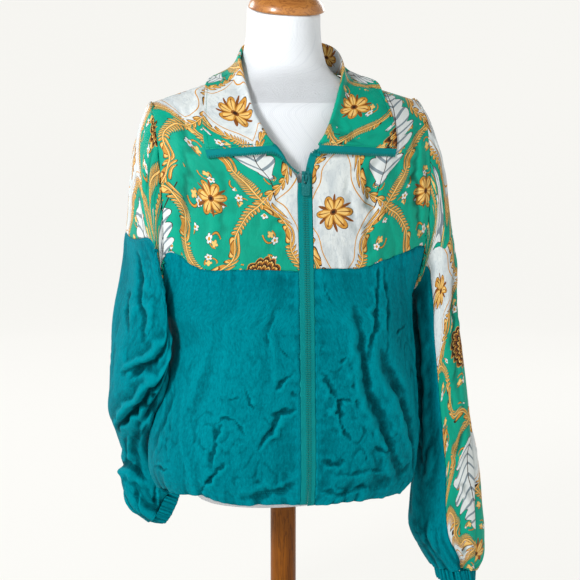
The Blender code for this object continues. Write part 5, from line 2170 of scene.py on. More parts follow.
@dataclass
class TeethRow:
    """A row of moulded zip teeth along a tape's edge."""
    name: str
    pitch: float = 0.0032
    width: float = 0.0019
    reach: float = 0.0036
    thickness: float = 0.0026
    vertices: list = field(default_factory=list)
    faces: list = field(default_factory=list)

    def tooth(self) -> tuple[list[Vector], list[tuple[int, ...]]]:
        """One tooth: x along the tape, y out over its edge, z off its face.

        Returns:
            Its points and its faces.
        """
        shape = bmesh.new()
        bmesh.ops.create_cube(shape, size=1.0)
        for vertex in shape.verts:
            head = 1.0 if vertex.co.y > 0 else 0.82
            vertex.co.x *= self.width * head
            vertex.co.y = vertex.co.y * self.reach + self.reach * 0.05
            vertex.co.z *= self.thickness * (0.92 if vertex.co.y > 0 else 1.0)
        bmesh.ops.bevel(shape, geom=shape.edges[:], offset=0.00032, segments=1,
                        affect="EDGES", profile=0.6)
        shape.verts.ensure_lookup_table()
        points = [vertex.co.copy() for vertex in shape.verts]
        faces = [tuple(vertex.index for vertex in face.verts) for face in shape.faces]
        shape.free()
        return points, faces

    def run(self, points: np.ndarray, outs: np.ndarray, first: float = 0.5) -> None:
        """Set teeth along a line.

        Args:
            points: the tape's edge.
            outs: at each point, the way out over the edge.
            first: where the first one goes, in steps.
        """
        shape, faces = self.tooth()
        for point, along, out in evenly(points, outs, self.pitch, first):
            out = (out - along * out.dot(along)).normalized()
            up = along.cross(out)
            start = len(self.vertices)
            self.vertices += [point + along * p.x + out * p.y + up * p.z for p in shape]
            self.faces += [tuple(start + i for i in face) for face in faces]

    def build(self, wardrobe: Wardrobe, finish: Moulded) -> bpy.types.Object:
        """Make the piece.

        Args:
            wardrobe: the finishes.
            finish: its finish.

        Returns:
            The piece.
        """
        piece = mesh_piece(self.name, self.vertices, self.faces, smooth=False)
        wardrobe.dress(piece, finish)
        LOG.info("%s: %d points", self.name, len(self.vertices))
        return piece


# ---------------------------------------------------------------- the dress form

@dataclass
class DressForm:
    """The jersey-covered torso with its neck cap, pole and base."""
    bottom: float = 0.297
    neck_top: float = 1.020
    neck_start: float = 0.925
    neck_tilt: float = radians(14)
    base_radius: float = 0.170
    base_height: float = 0.022
    pole_radius: float = 0.0195
    cap_radius: float = 0.055
    cap_rise: float = 0.030
    rest_gap: float = 0.0003
    sides: int = 128
    rings: int = 120

    TORSO = SmoothTable("z half_width front back", [
        (0.297, 0.128, 0.080, 0.084),
        (0.330, 0.154, 0.096, 0.104),
        (0.380, 0.167, 0.103, 0.112),
        (0.440, 0.157, 0.098, 0.106),
        (0.500, 0.134, 0.090, 0.094),
        (0.550, 0.120, 0.087, 0.086),
        (0.600, 0.122, 0.093, 0.086),
        (0.660, 0.138, 0.106, 0.092),
        (0.715, 0.150, 0.1125, 0.098),
        (0.770, 0.156, 0.109, 0.102),
        (0.820, 0.162, 0.099, 0.102),
        (0.855, 0.176, 0.087, 0.094),
        (0.876, 0.184, 0.080, 0.082),
        (0.8885, 0.1805, 0.074, 0.070),
        (0.8975, 0.1575, 0.069, 0.060),
        (0.9085, 0.1260, 0.066, 0.053),
        (0.9200, 0.0925, 0.065, 0.046),
        (0.9350, 0.0705, 0.065, 0.042),
        (0.9600, 0.0590, 0.066, 0.039),
        (0.9900, 0.0540, 0.070, 0.034),
        (1.0200, 0.0530, 0.073, 0.033),
    ])

    def ring(self, z: float, inset: float = 0.0) -> list[Vector]:
        """A ring of the torso; the neck's rings lean forward.

        Args:
            z: its height at the axis.
            inset: how far it is drawn in.

        Returns:
            The ring's points.
        """
        half_width, front, back = self.TORSO.at(z)
        share = (z - self.neck_start) / (self.neck_top - self.neck_start)
        share = min(max(share, 0), 1)
        lean = tan(self.neck_tilt) * share
        middle = (back - front) / 2
        ring = []
        for i in range(self.sides):
            angle = 2 * pi * i / self.sides
            y = ((back if sin(angle) > 0 else front) - inset) * sin(angle)
            ring.append(Vector(((half_width - inset) * cos(angle), y,
                                z + lean * (y - middle))))
        return ring

    def torso(self, wardrobe: Wardrobe) -> BVHTree:
        """Build the torso.

        Args:
            wardrobe: the finishes.

        Returns:
            Its face, for cloth to lie on.
        """
        edge = ((0.006, 0.0), (0.003, 0.0012), (0.0, 0.004))
        levels = [(self.bottom + up, inset) for inset, up in edge]
        levels += [(z, 0.0) for z in np.linspace(self.bottom + 0.008,
                                                 self.neck_top - 0.002, self.rings)]
        levels.append((self.neck_top, 0.0012))
        vertices, places = [], []
        for z, inset in levels:
            ring = self.ring(z, inset)
            girth = sum((ring[i] - ring[i - 1]).length for i in range(self.sides))
            vertices += ring
            places += [(i / self.sides * girth, z) for i in range(self.sides)]
        faces = lofted(0, len(levels), self.sides)
        piece = mesh_piece("form_torso_cover", vertices, faces)
        uv = piece.data.uv_layers.new(name="cloth")
        for loop in piece.data.loops:
            uv.data[loop.index].uv = places[loop.vertex_index]
        wardrobe.dress(piece, wardrobe.jersey)
        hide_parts("form_torso")
        return BVHTree.FromPolygons(vertices, faces)

    def turned(self, name: str, node: str, profile: Sequence[tuple[float, float]],
               finish: VarnishedWood, wardrobe: Wardrobe,
               place: Optional[Matrix] = None, sides: int = 96) -> None:
        """Build a turned piece.

        Args:
            name: its name.
            node: the solid that it stands for.
            profile: its radii and heights, top to bottom.
            finish: its finish.
            wardrobe: the finishes.
            place: where it stands, if not on the axis.
            sides: how many sides it has.
        """
        vertices = [point for radius, z in profile
                    for point in circle(radius, z, sides)]
        if place is not None:
            vertices = [place @ vertex for vertex in vertices]
        piece = mesh_piece(name, vertices, lofted(0, len(profile), sides, flip=True))
        piece.data.set_sharp_from_angle(angle=radians(50))
        wardrobe.dress(piece, finish)
        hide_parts(node)
        LOG.info("%s: %d points", name, len(vertices))

    def build(self, wardrobe: Wardrobe) -> BVHTree:
        """Build the whole stand.

        Args:
            wardrobe: the finishes.

        Returns:
            The torso's face.
        """
        face = self.torso(wardrobe)
        _, front, back = self.TORSO.at(self.neck_top)
        dome = [(self.cap_radius * cos(t), self.cap_rise * sin(t) ** 0.9)
                for t in np.linspace(radians(88), radians(8), 24)]
        lip = [(self.cap_radius, 0.0036), (self.cap_radius + 0.0002, 0.0022),
               (self.cap_radius - 0.0004, 0.0008), (self.cap_radius - 0.0018, 0.0)]
        tilt = Matrix.Rotation(self.neck_tilt, 4, "X")
        centre = Vector((0.0, (back - front) / 2, self.neck_top))
        above = tilt @ Vector((0, 0, self.rest_gap))
        self.turned("form_cap_turned", "form_neck_cap", dome + lip, wardrobe.cap_wood,
                    wardrobe, Matrix.Translation(centre + above) @ tilt)
        top, foot = self.bottom - self.rest_gap, self.base_height + self.rest_gap
        radius = self.pole_radius
        shaft = [(radius - 0.001, top), (radius, top - 0.001)]
        shaft += [(radius, z) for z in np.linspace(top - 0.01, foot + 0.01, 12)]
        shaft += [(radius, foot + 0.001), (radius - 0.001, foot)]
        self.turned("form_pole_turned", "form_pole", shaft, wardrobe.dark_wood,
                    wardrobe)
        height, wide = self.base_height, self.base_radius
        disc = [(0.030, height), (0.060, height), (0.100, height - 0.0012),
                (wide - 0.012, height - 0.004)]
        disc += [(wide - 0.008 + 0.008 * sin(t), height - 0.012 + 0.008 * cos(t))
                 for t in np.linspace(radians(15), radians(90), 10)]
        disc += [(wide, 0.003), (wide - 0.001, 0.001), (wide - 0.003, 0.0),
                 (0.080, 0.0)]
        self.turned("form_base_turned", "form_base", disc, wardrobe.dark_wood, wardrobe)
        return face


# ---------------------------------------------------------------- the jacket

@dataclass
class JacketBody:
    """Fronts, yokes and back."""
    cut: JacketCut
    form_face: BVHTree
    panels: dict[str, ClothPanel] = field(default_factory=dict)

    FRONT_LEFT_CREASES = (
        Crease(((0.01, 0.59), (0.04, 0.53), (0.09, 0.44), (0.09, 0.39), (0.12, 0.31),
                (0.14, 0.27)), -0.0042, 0.0030, 0.7),
        Crease(((0.09, 0.44), (0.18, 0.43)), -0.0032, 0.0025, 0.8),
        Crease(((0.21, 0.82), (0.23, 0.62), (0.25, 0.46), (0.31, 0.36), (0.35, 0.28),
                (0.40, 0.18), (0.50, 0.07)), -0.0076, 0.0105, 0.5),
        Crease(((0.35, 0.60), (0.44, 0.48), (0.54, 0.36), (0.61, 0.23), (0.70, 0.08)),
               -0.0096, 0.0135, 0.5),
        Crease(((0.44, 1.00), (0.36, 0.80), (0.26, 0.58)), -0.0036, 0.0046, 0.6),
        Crease(((0.49, 0.98), (0.44, 0.78), (0.40, 0.60)), -0.0036, 0.0046, 0.6),
        Crease(((0.50, 0.655), (0.63, 0.67)), -0.0028, 0.0026, 0.7),
        Crease(((0.02, 0.20), (0.06, 0.175), (0.12, 0.18)), -0.0026, 0.0040, 0.5),
        Crease(((0.07, 0.135), (0.16, 0.125), (0.24, 0.14), (0.34, 0.12)), -0.0028,
               0.0050, 0.5),
        Crease(((0.00, 0.065), (0.09, 0.045), (0.20, 0.06), (0.30, 0.04)), -0.0026,
               0.0042, 0.5),
        Crease(((0.44, 0.16), (0.52, 0.10), (0.60, 0.12)), -0.0022, 0.0040, 0.5),
        Crease(((0.30, 0.30), (0.36, 0.24), (0.46, 0.25)), -0.0022, 0.0032, 0.5),
        Crease(((0.06, 0.06), (0.45, 0.08), (0.80, 0.15)), -0.0040, 0.0200, 0.0),
        Crease(((0.26, 0.23), (0.34, 0.20), (0.44, 0.21)), -0.0022, 0.0030, 0.5),
        Crease(((0.05, 0.94), (0.09, 0.86)), -0.0018, 0.0023, 0.6),
        Crease(((0.01, 0.72), (0.03, 0.65)), -0.0022, 0.0024, 0.6),
        Crease(((0.10, 0.60), (0.13, 0.62)), -0.0024, 0.0024, 0.6),
        Crease(((0.16, 0.56), (0.19, 0.40)), -0.0016, 0.0026, 0.6),
        Crease(((0.82, 0.80), (0.86, 0.40), (0.88, 0.12)), -0.0050, 0.0120, 0.5),
        Crumple((0.16, 0.60), 0.028, 0.0016),
        Crumple((0.04, 0.34), 0.024, 0.0014),
        Crumple((0.66, 0.46), 0.045, 0.0030, 0.012),
        Crumple((0.58, 0.58), 0.030, 0.0022),
        Crumple((0.10, 0.58), 0.030, 0.0022, 0.010),
        Crumple((0.24, 0.24), 0.052, 0.0036, 0.012),
        Crumple((0.38, 0.18), 0.055, 0.0034, 0.013),
        Crumple((0.14, 0.08), 0.044, 0.0030, 0.012),
        Crumple((0.56, 0.12), 0.050, 0.0030, 0.013),
    )
    FRONT_RIGHT_CREASES = (
        Crease(((0.01, 0.415), (0.05, 0.41), (0.09, 0.395), (0.11, 0.36), (0.14, 0.31),
                (0.18, 0.25)), -0.0052, 0.0042, 0.7),
        Crease(((0.00, 0.60), (0.05, 0.56), (0.09, 0.53), (0.12, 0.48)), -0.0034,
               0.0032, 0.7),
        Crease(((0.26, 0.48), (0.20, 0.40)), -0.0026, 0.0023, 0.7),
        Crease(((0.43, 0.33), (0.37, 0.365), (0.31, 0.355), (0.25, 0.31)), -0.0024,
               0.0028, 0.7),
        Crease(((0.38, 0.345), (0.41, 0.28), (0.42, 0.20), (0.41, 0.155)), -0.0034,
               0.0032, 0.6),
        Crease(((0.36, 0.44), (0.31, 0.455)), -0.0024, 0.0028, 0.6),
        Crease(((0.34, 0.185), (0.40, 0.11), (0.50, 0.01)), -0.0046, 0.0027, 0.7),
        Crease(((0.26, 0.030), (0.12, 0.055), (0.00, 0.105)), -0.0040, 0.0070, 0.4),
        Crease(((0.88, 0.10), (0.69, 0.12)), -0.0022, 0.0025, 0.6),
        Crease(((0.12, 0.84), (0.15, 0.66)), -0.0015, 0.0026, 0.6),
        Crease(((0.03, 0.50), (0.00, 0.46)), -0.0022, 0.0026, 0.6),
        Crease(((0.56, 0.62), (0.66, 0.36)), 0.0018, 0.0130, 0.6),
        Crease(((0.80, 0.42), (0.92, 0.14)), -0.0030, 0.0110, 0.6),
        Crumple((0.05, 0.645), 0.022, 0.0028, 0.009),
        Crumple((0.36, 0.43), 0.026, 0.0022, 0.009),
        Crumple((0.38, 0.22), 0.030, 0.0028, 0.010),
        Crumple((0.81, 0.26), 0.028, 0.0026, 0.010),
        Crumple((0.74, 0.19), 0.026, 0.0026, 0.010),
        Crumple((0.56, 0.05), 0.022, 0.0022, 0.010),
        Crumple((0.10, 0.08), 0.036, 0.0024, 0.010),
        Crumple((0.22, 0.14), 0.034, 0.0028, 0.011),
        Crumple((0.42, 0.28), 0.040, 0.0030, 0.011),
        Crumple((0.16, 0.36), 0.030, 0.0024, 0.010),
    )
    BACK_CREASES = (
        Crumple((0.30, 0.16), 0.070, 0.0026, 0.014),
        Crumple((0.70, 0.20), 0.070, 0.0026, 0.013),
        Crumple((0.52, 0.52), 0.050, 0.0018),
        Crease(((0.40, 0.90), (0.30, 0.62), (0.17, 0.28)), 0.0070, 0.015, 0.7),
        Crease(((0.55, 0.84), (0.66, 0.55), (0.80, 0.22)), 0.0070, 0.015, 0.7),
        Crease(((0.48, 0.48), (0.54, 0.28), (0.61, 0.08)), 0.0048, 0.011, 0.7),
        Crease(((0.28, 0.34), (0.34, 0.18), (0.40, 0.04)), 0.0044, 0.010, 0.7),
        Crease(((0.46, 0.96), (0.48, 0.74)), 0.0030, 0.010, 0.7),
        Crease(((0.12, 0.66), (0.20, 0.50)), 0.0032, 0.010, 0.7),
        Crease(((0.86, 0.64), (0.78, 0.46)), 0.0032, 0.010, 0.7),
        Crease(((0.40, 0.22), (0.60, 0.20)), 0.0020, 0.007, 0.7),
    )
    YOKE_LEFT_CREASES = (
        Crease(((0.53, 0.44), (0.47, 0.22), (0.43, 0.02)), 0.0030, 0.010, 0.8),
        Crease(((0.88, 0.61), (0.89, 0.29), (0.93, 0.06)), 0.0030, 0.008, 0.9),
        Crease(((0.06, 0.30), (0.05, 0.04)), 0.0010, 0.006, 0.8),
        Crease(((0.30, 0.36), (0.34, 0.14)), 0.0016, 0.008, 0.7),
        Crease(((0.64, 0.60), (0.72, 0.30)), 0.0018, 0.009, 0.7),
        Crease(((0.50, 0.90), (0.62, 0.66)), 0.0014, 0.008, 0.7),
    )
    YOKE_RIGHT_CREASES = (
        Crease(((0.75, 0.78), (0.84, 0.36), (0.88, 0.06)), 0.0024, 0.009, 0.8),
        Crease(((0.60, 0.45), (0.55, 0.04)), 0.0016, 0.008, 0.7),
        Crease(((0.20, 0.30), (0.24, 0.06)), 0.0012, 0.007, 0.7),
        Crease(((0.40, 0.92), (0.58, 0.70)), 0.0014, 0.008, 0.7),
    )
    YOKE_BACK_CREASES = (
        Crease(((0.16, 0.70), (0.22, 0.30)), 0.0030, 0.011, 0.7),
        Crease(((0.84, 0.72), (0.78, 0.30)), 0.0030, 0.011, 0.7),
        Crease(((0.40, 0.66), (0.42, 0.06)), 0.0022, 0.010, 0.7),
        Crease(((0.56, 0.60), (0.55, 0.04)), 0.0022, 0.010, 0.7),
    )

    def front(self, side: Side, wardrobe: Wardrobe) -> None:
        """Build a lower front and its yoke.

        Args:
            side: the wearer's side.
            wardrobe: the finishes.
        """
        cut = self.cut
        left = side is Side.LEFT

        def lower(u: float, v: float) -> Vector:
            """The lower front's surface."""
            return cut.lower_front(side, u, v)

        def upper(u: float, v: float) -> Vector:
            """The yoke's surface."""
            return cut.upper_front(side, u, v)

        hem = (Gather(Edge.BOTTOM, 0.0016, 0.022, 0.012, 4.0 + side.value),
               Gather(Edge.BOTTOM, 0.0028, 0.060, 0.034, 9.0 + side.value),
               Gather(Edge.TOP, 0.0009, 0.020, 0.010, 15.0 + side.value),
               Gather(Edge.START, 0.0010, 0.016, 0.013, 18.0 + side.value))
        name = f"front_{side.word}"
        self.panels[name] = ClothPanel(
            f"{name}_cloth", name, lower, Vector((0, 0, 0.5)), wardrobe.teal,
            coarse=(24, 40), spacing=0.0023, gathers=hem, seams="lrt", tucked="rt",
            creases=self.FRONT_LEFT_CREASES if left else self.FRONT_RIGHT_CREASES)
        name = f"yoke_front_{side.word}"
        place = (0.052, 0.030, 0.0) if left else (0.118, 0.012, 0.0)
        self.panels[name] = ClothPanel(
            f"{name}_cloth", name, upper, Vector((0, 0, 0.75)), wardrobe.print,
            coarse=(24, 48), spacing=0.0026, seams="rbt", tucked="t",
            creases=self.YOKE_LEFT_CREASES if left else self.YOKE_RIGHT_CREASES,
            gathers=(Gather(Edge.BOTTOM, 0.0009, 0.016, 0.011, 25.0 + side.value),),
            layers=(Layer(self.form_face, 0.0018),), print_place=place, rumple=0.0008)

    def back(self, wardrobe: Wardrobe) -> None:
        """Build the lower back and its yoke.

        Args:
            wardrobe: the finishes.
        """
        cut = self.cut

        def lower(u: float, v: float) -> Vector:
            """The lower back's surface."""
            return cut.lower_back(2 * u - 1, v)

        def upper(u: float, v: float) -> Vector:
            """The back yoke's surface."""
            return cut.upper_back(2 * u - 1, v)

        hem = (Gather(Edge.BOTTOM, 0.0018, 0.024, 0.012, 31.0),
               Gather(Edge.BOTTOM, 0.0036, 0.080, 0.036, 37.0),
               Gather(Edge.TOP, 0.0009, 0.020, 0.010, 41.0))
        self.panels["back"] = ClothPanel(
            "back_cloth", "back", lower, Vector((0, 0, 0.5)), wardrobe.teal,
            coarse=(48, 40), spacing=0.0028, gathers=hem, seams="lrt", tucked="t",
            creases=self.BACK_CREASES)
        self.panels["yoke_back"] = ClothPanel(
            "yoke_back_cloth", "yoke_back", upper, Vector((0, 0, 0.75)), wardrobe.print,
            coarse=(48, 48), spacing=0.0030, seams="lrbt",
            creases=self.YOKE_BACK_CREASES, layers=(Layer(self.form_face, 0.0018),),
            print_place=(0.020, 0.060, 0.0), rumple=0.0008)

    def build(self, wardrobe: Wardrobe) -> None:
        """Build all six panels and sew the hem and the zip's edges.

        Args:
            wardrobe: the finishes.
        """
        self.front(Side.RIGHT, wardrobe)
        self.front(Side.LEFT, wardrobe)
        self.back(wardrobe)
        for panel in self.panels.values():
            panel.build(wardrobe)
        sewing = Sewing("sewing_body")
        for side in Side:
            front = self.panels[f"front_{side.word}"]
            sewing.run(*front.line(Edge.BOTTOM, 0.020))
            sewing.run(*front.line(Edge.START, 0.0022))
            sewing.run(*front.line(Edge.TOP, 0.0022))
        sewing.run(*self.panels["back"].line(Edge.BOTTOM, 0.020))
        sewing.run(*self.panels["back"].line(Edge.TOP, 0.0022))
        sewing.build(wardrobe, wardrobe.teal_thread)


@dataclass
class Sleeves:
    """Sleeve heads, sleeves and elastic cuffs."""
    cut: JacketCut
    body_faces: Sequence[BVHTree]
    cuff_length: float = 0.022
    cuff_gap: float = 0.0004
    cuff_ribs: int = 46
    right_cuff_axis: tuple[float, float, float] = (0.93, -0.06, -0.30)
    panels: dict[str, ClothPanel] = field(default_factory=dict)

    RIGHT_CREASES = (
        Crease(((0.77, 0.24), (0.70, 0.285), (0.64, 0.325), (0.55, 0.37)), 0.0078,
               0.0075, 1.1),
        Crease(((0.85, 0.33), (0.77, 0.355), (0.71, 0.385), (0.66, 0.46), (0.60, 0.535),
                (0.54, 0.58)), 0.0115, 0.0095, 1.25),
        Crease(((0.88, 0.42), (0.80, 0.47), (0.76, 0.56)), -0.0090, 0.0150, 0.0),
        Crease(((0.54, 0.03), (0.57, 0.10), (0.57, 0.16), (0.62, 0.21), (0.62, 0.27)),
               -0.0048, 0.0060, 0.6),
        Crease(((0.50, 0.13), (0.51, 0.20), (0.54, 0.25)), -0.0038, 0.0052, 0.6),
        Crease(((0.72, 0.46), (0.80, 0.56), (0.90, 0.66)), 0.0046, 0.0070, 0.9),
        Crease(((0.40, 0.79), (0.60, 0.765), (0.74, 0.81)), 0.0068, 0.0090, 0.9),
        Crease(((0.79, 0.84), (0.74, 0.98)), -0.0060, 0.0060, 0.5),
        Crease(((0.66, 0.84), (0.60, 0.97)), -0.0042, 0.0060, 0.5),
        Crease(((0.66, 0.60), (0.58, 0.72)), -0.0040, 0.0070, 0.6),
        Crease(((0.76, 0.58), (0.70, 0.68), (0.68, 0.80)), -0.0076, 0.0160, 0.0),
        Crease(((0.50, 0.72), (0.40, 0.68)), -0.0050, 0.0100, 0.6),
        Crease(((0.20, 0.50), (0.36, 0.58)), 0.0070, 0.0140, 0.8),
        Crease(((0.14, 0.64), (0.30, 0.70)), 0.0060, 0.0120, 0.8),
        Crease(((0.24, 0.24), (0.34, 0.40)), 0.0050, 0.0120, 0.8),
        Crease(((0.44, 0.86), (0.54, 0.93)), 0.0040, 0.0090, 0.8),
        Crumple((0.80, 0.17), 0.050, 0.0034, 0.012),
        Crumple((0.70, 0.08), 0.040, 0.0026, 0.012),
        Crumple((0.62, 0.41), 0.022, 0.0028, 0.009),
        Crumple((0.66, 0.56), 0.036, 0.0030, 0.011),
        Crumple((0.66, 0.72), 0.050, 0.0032, 0.012),
        Crumple((0.80, 0.90), 0.046, 0.0030, 0.012),
        Crumple((0.56, 0.90), 0.046, 0.0030, 0.013),
        Crumple((0.30, 0.60), 0.070, 0.0030, 0.015),
    )
    LEFT_INNER_CREASES = (
        Crumple((0.40, 0.60), 0.050, 0.0026, 0.014),
        Crumple((0.40, 0.90), 0.050, 0.0028, 0.013),
        Crumple((0.60, 0.24), 0.040, 0.0020, 0.013),
        Crease(((0.72, 0.04), (0.78, 0.24), (0.74, 0.46)), -0.0050, 0.010, 0.7),
        Crease(((0.30, 0.10), (0.24, 0.40), (0.34, 0.70)), 0.0050, 0.012, 0.8),
        Crease(((0.52, 0.56), (0.40, 0.66)), 0.0034, 0.008, 0.8),
        Crease(((0.20, 0.66), (0.34, 0.74)), 0.0040, 0.009, 0.8),
        Crease(((0.60, 0.70), (0.46, 0.84)), 0.0044, 0.010, 0.8),
        Crease(((0.20, 0.84), (0.30, 0.95)), 0.0034, 0.008, 0.8),
    )
    LEFT_FRONT_CREASES = (
        Crease(((0.20, 0.06), (0.34, 0.26), (0.30, 0.44)), 0.0034, 0.010, 0.8),
        Crease(((0.70, 0.10), (0.60, 0.24)), 0.0026, 0.008, 0.8),
        Crease(((0.24, 0.54), (0.60, 0.62)), 0.0028, 0.008, 0.8),
        Crease(((0.20, 0.76), (0.66, 0.70)), 0.0026, 0.007, 0.8),
        Crease(((0.30, 0.88), (0.62, 0.94)), 0.0026, 0.007, 0.8),
    )
    LEFT_BACK_CREASES = (
        Crease(((0.30, 0.12), (0.44, 0.36)), 0.0050, 0.012, 0.8),
        Crease(((0.66, 0.42), (0.40, 0.52)), 0.0056, 0.012, 0.8),
        Crease(((0.30, 0.60), (0.66, 0.68)), 0.0050, 0.011, 0.8),
        Crease(((0.60, 0.82), (0.40, 0.92)), 0.0040, 0.009, 0.8),
    )
    HEAD_CREASES = (
        Crease(((0.40, 0.10), (0.37, 0.60)), 0.0020, 0.008, 0.7),
        Crease(((0.62, 0.14), (0.66, 0.70)), 0.0026, 0.009, 0.7),
        Crease(((0.50, 0.30), (0.49, 0.90)), 0.0012, 0.010, 0.6),
    )

    def beside(self) -> tuple[Layer, ...]:
        """The body's panels, which the sleeves keep off."""
        return tuple(Layer(face, 0.0012) for face in self.body_faces)

    def below_head(self, side: Side, angle: float, v: float) -> Vector:
        """A point below the printed head."""
        start = self.cut.head_end(side, angle)
        return self.cut.sleeve_point(side, start + (1 - start) * v, angle)

    def heads(self, wardrobe: Wardrobe) -> None:
        """The printed head of each sleeve.

        Args:
            wardrobe: the finishes.
        """
        for side in Side:
            def head(u: float, v: float, side: Side = side) -> Vector:
                """The head's surface, round from the underarm.

                Args:
                    u: the share across.
                    v: the share along.
                    side: the wearer's side.

                Returns:
                    The point.
                """
                angle = -180 + 360 * u
                return self.cut.sleeve_point(
                    side, self.cut.head_end(side, angle) * v, angle)

            name = f"sleeve_{side.word}_top"
            self.panels[name] = ClothPanel(
                f"{name}_cloth", name, head, self.cut.sleeve_core(side, 0.12),
                wardrobe.print, coarse=(72, 14), spacing=0.0030, seams="lrbt",
                tucked="rb", creases=self.HEAD_CREASES, layers=self.beside(),
                gathers=(Gather(Edge.BOTTOM, 0.0012, 0.018, 0.012, 51.0 + side.value),),
                print_place=(0.030, 0.100, 4.0) if side is Side.LEFT
                else (0.104, 0.055, -6.0), rumple=0.0009, held="gathered")

    def right(self, wardrobe: Wardrobe) -> None:
        """The plain right sleeve.

        Args:
            wardrobe: the finishes.
        """
        def surface(u: float, v: float) -> Vector:
            """The sleeve's surface, round from the underarm."""
            return self.below_head(Side.RIGHT, -180 + 360 * u, v)

        self.panels["sleeve_right"] = ClothPanel(
            "sleeve_right_cloth", "sleeve_right", surface,
            self.cut.sleeve_core(Side.RIGHT, 0.63), wardrobe.teal, coarse=(72, 44),
            spacing=0.0028, seams="lrb", tucked="rb", creases=self.RIGHT_CREASES,
            gathers=(Gather(Edge.TOP, 0.0042, 0.040, 0.012, 57.0),
                     Gather(Edge.TOP, 0.0050, 0.110, 0.036, 58.0)),
            layers=self.beside(), rumple=0.0014, held="gathered")

    def left(self, wardrobe: Wardrobe) -> None:
        """The left sleeve's three panels, two printed and one plain.

        Args:
            wardrobe: the finishes.
        """
        rows = (("outer_front", 1, 0, wardrobe.print, self.LEFT_FRONT_CREASES, 26, 2.0),
                ("outer_back", 2, 1, wardrobe.print, self.LEFT_BACK_CREASES, 30, -3.0),
                ("inner", 0, 2, wardrobe.teal, self.LEFT_INNER_CREASES, 26, 0.0))
        for word, first, last, finish, creases, columns, turn in rows:
            def panel(u: float, v: float, first: int = first,
                      last: int = last) -> Vector:
                """The panel's surface, between two of the panels' seams.

                Args:
                    u: the share across.
                    v: the share along.
                    first: the seam that it starts from.
                    last: the seam that it ends at.

                Returns:
                    The point.
                """
                bounds = self.cut.LEFT_PANELS.at(v)
                low, high = bounds[first], bounds[last]
                high = high + 360 if high < low else high
                return self.below_head(Side.LEFT, low + (high - low) * u, v)

            name = f"sleeve_left_{word}"
            self.panels[name] = ClothPanel(
                f"{name}_cloth", name, panel, self.cut.sleeve_core(Side.LEFT, 0.63),
                finish, coarse=(columns, 44), spacing=0.0028, seams="lrb", tucked="lb",
                creases=creases, layers=self.beside(),
                gathers=(Gather(Edge.TOP, 0.0040, 0.034, 0.012, 61.0 + first),
                         Gather(Edge.TOP, 0.0036, 0.090, 0.034, 65.0 + first)),
                print_place=(0.020 * last, 0.040, turn), rumple=0.0012,
                held="gathered")

    def cuffs(self, wardrobe: Wardrobe) -> None:
        """The elastic cuffs: short ribbed tubes.

        Args:
            wardrobe: the finishes.
        """
        for side in Side:
            ring, before = ([self.cut.sleeve_ring(side, share, angle)
                             for angle in range(0, 360, 5)] for share in (1.0, 0.985))
            centre = sum(ring, Vector()) / len(ring)
            axis = (centre - sum(before, Vector()) / len(before)).normalized()
            if side is Side.RIGHT:
                axis = Vector(self.right_cuff_axis).normalized()

            def tube(u: float, v: float, ring: list = ring, centre: Vector = centre,
                     axis: Vector = axis) -> Vector:
                """The cuff's surface, ribbed and snug.

                Args:
                    u: the share across.
                    v: the share along.
                    ring: the sleeve's end.
                    centre: the ring's middle.
                    axis: the way that the cuff runs.

                Returns:
                    The point.
                """
                point = ring[round(u * len(ring)) % len(ring)]
                ribs = 1 + 0.020 * sin(2 * pi * self.cuff_ribs * u)
                snug = (0.97 - 0.05 * v) * ribs
                start = centre + (point - centre) * snug
                return start + axis * (self.cuff_gap + self.cuff_length * v)

            name = f"cuff_{side.word}"
            self.panels[name] = ClothPanel(
                f"{name}_cloth", name, tube, centre + axis * 0.01, wardrobe.teal,
                coarse=(72, 8), spacing=0.0012, closed=True, thickness=0.0014,
                gathers=(Gather(Edge.BOTTOM, 0.0022, 0.030, 0.0040, 71.0),),
                rumple=0.0003, held="gathered", groove=0.0)

    def build(self, wardrobe: Wardrobe) -> None:
        """Build every panel and its sewing.

        Args:
            wardrobe: the finishes.
        """
        self.heads(wardrobe)
        self.right(wardrobe)
        self.left(wardrobe)
        self.cuffs(wardrobe)
        for panel in self.panels.values():
            panel.build(wardrobe)
        sewing = Sewing("sewing_sleeves")
        sewing.run(*self.panels["sleeve_right"].line(Edge.BOTTOM, 0.0022))
        for word in ("outer_front", "outer_back", "inner"):
            sewing.run(*self.panels[f"sleeve_left_{word}"].line(Edge.TOP, 0.003))
        sewing.run(*self.panels["sleeve_right"].line(Edge.TOP, 0.003))
        sewing.build(wardrobe, wardrobe.teal_thread)


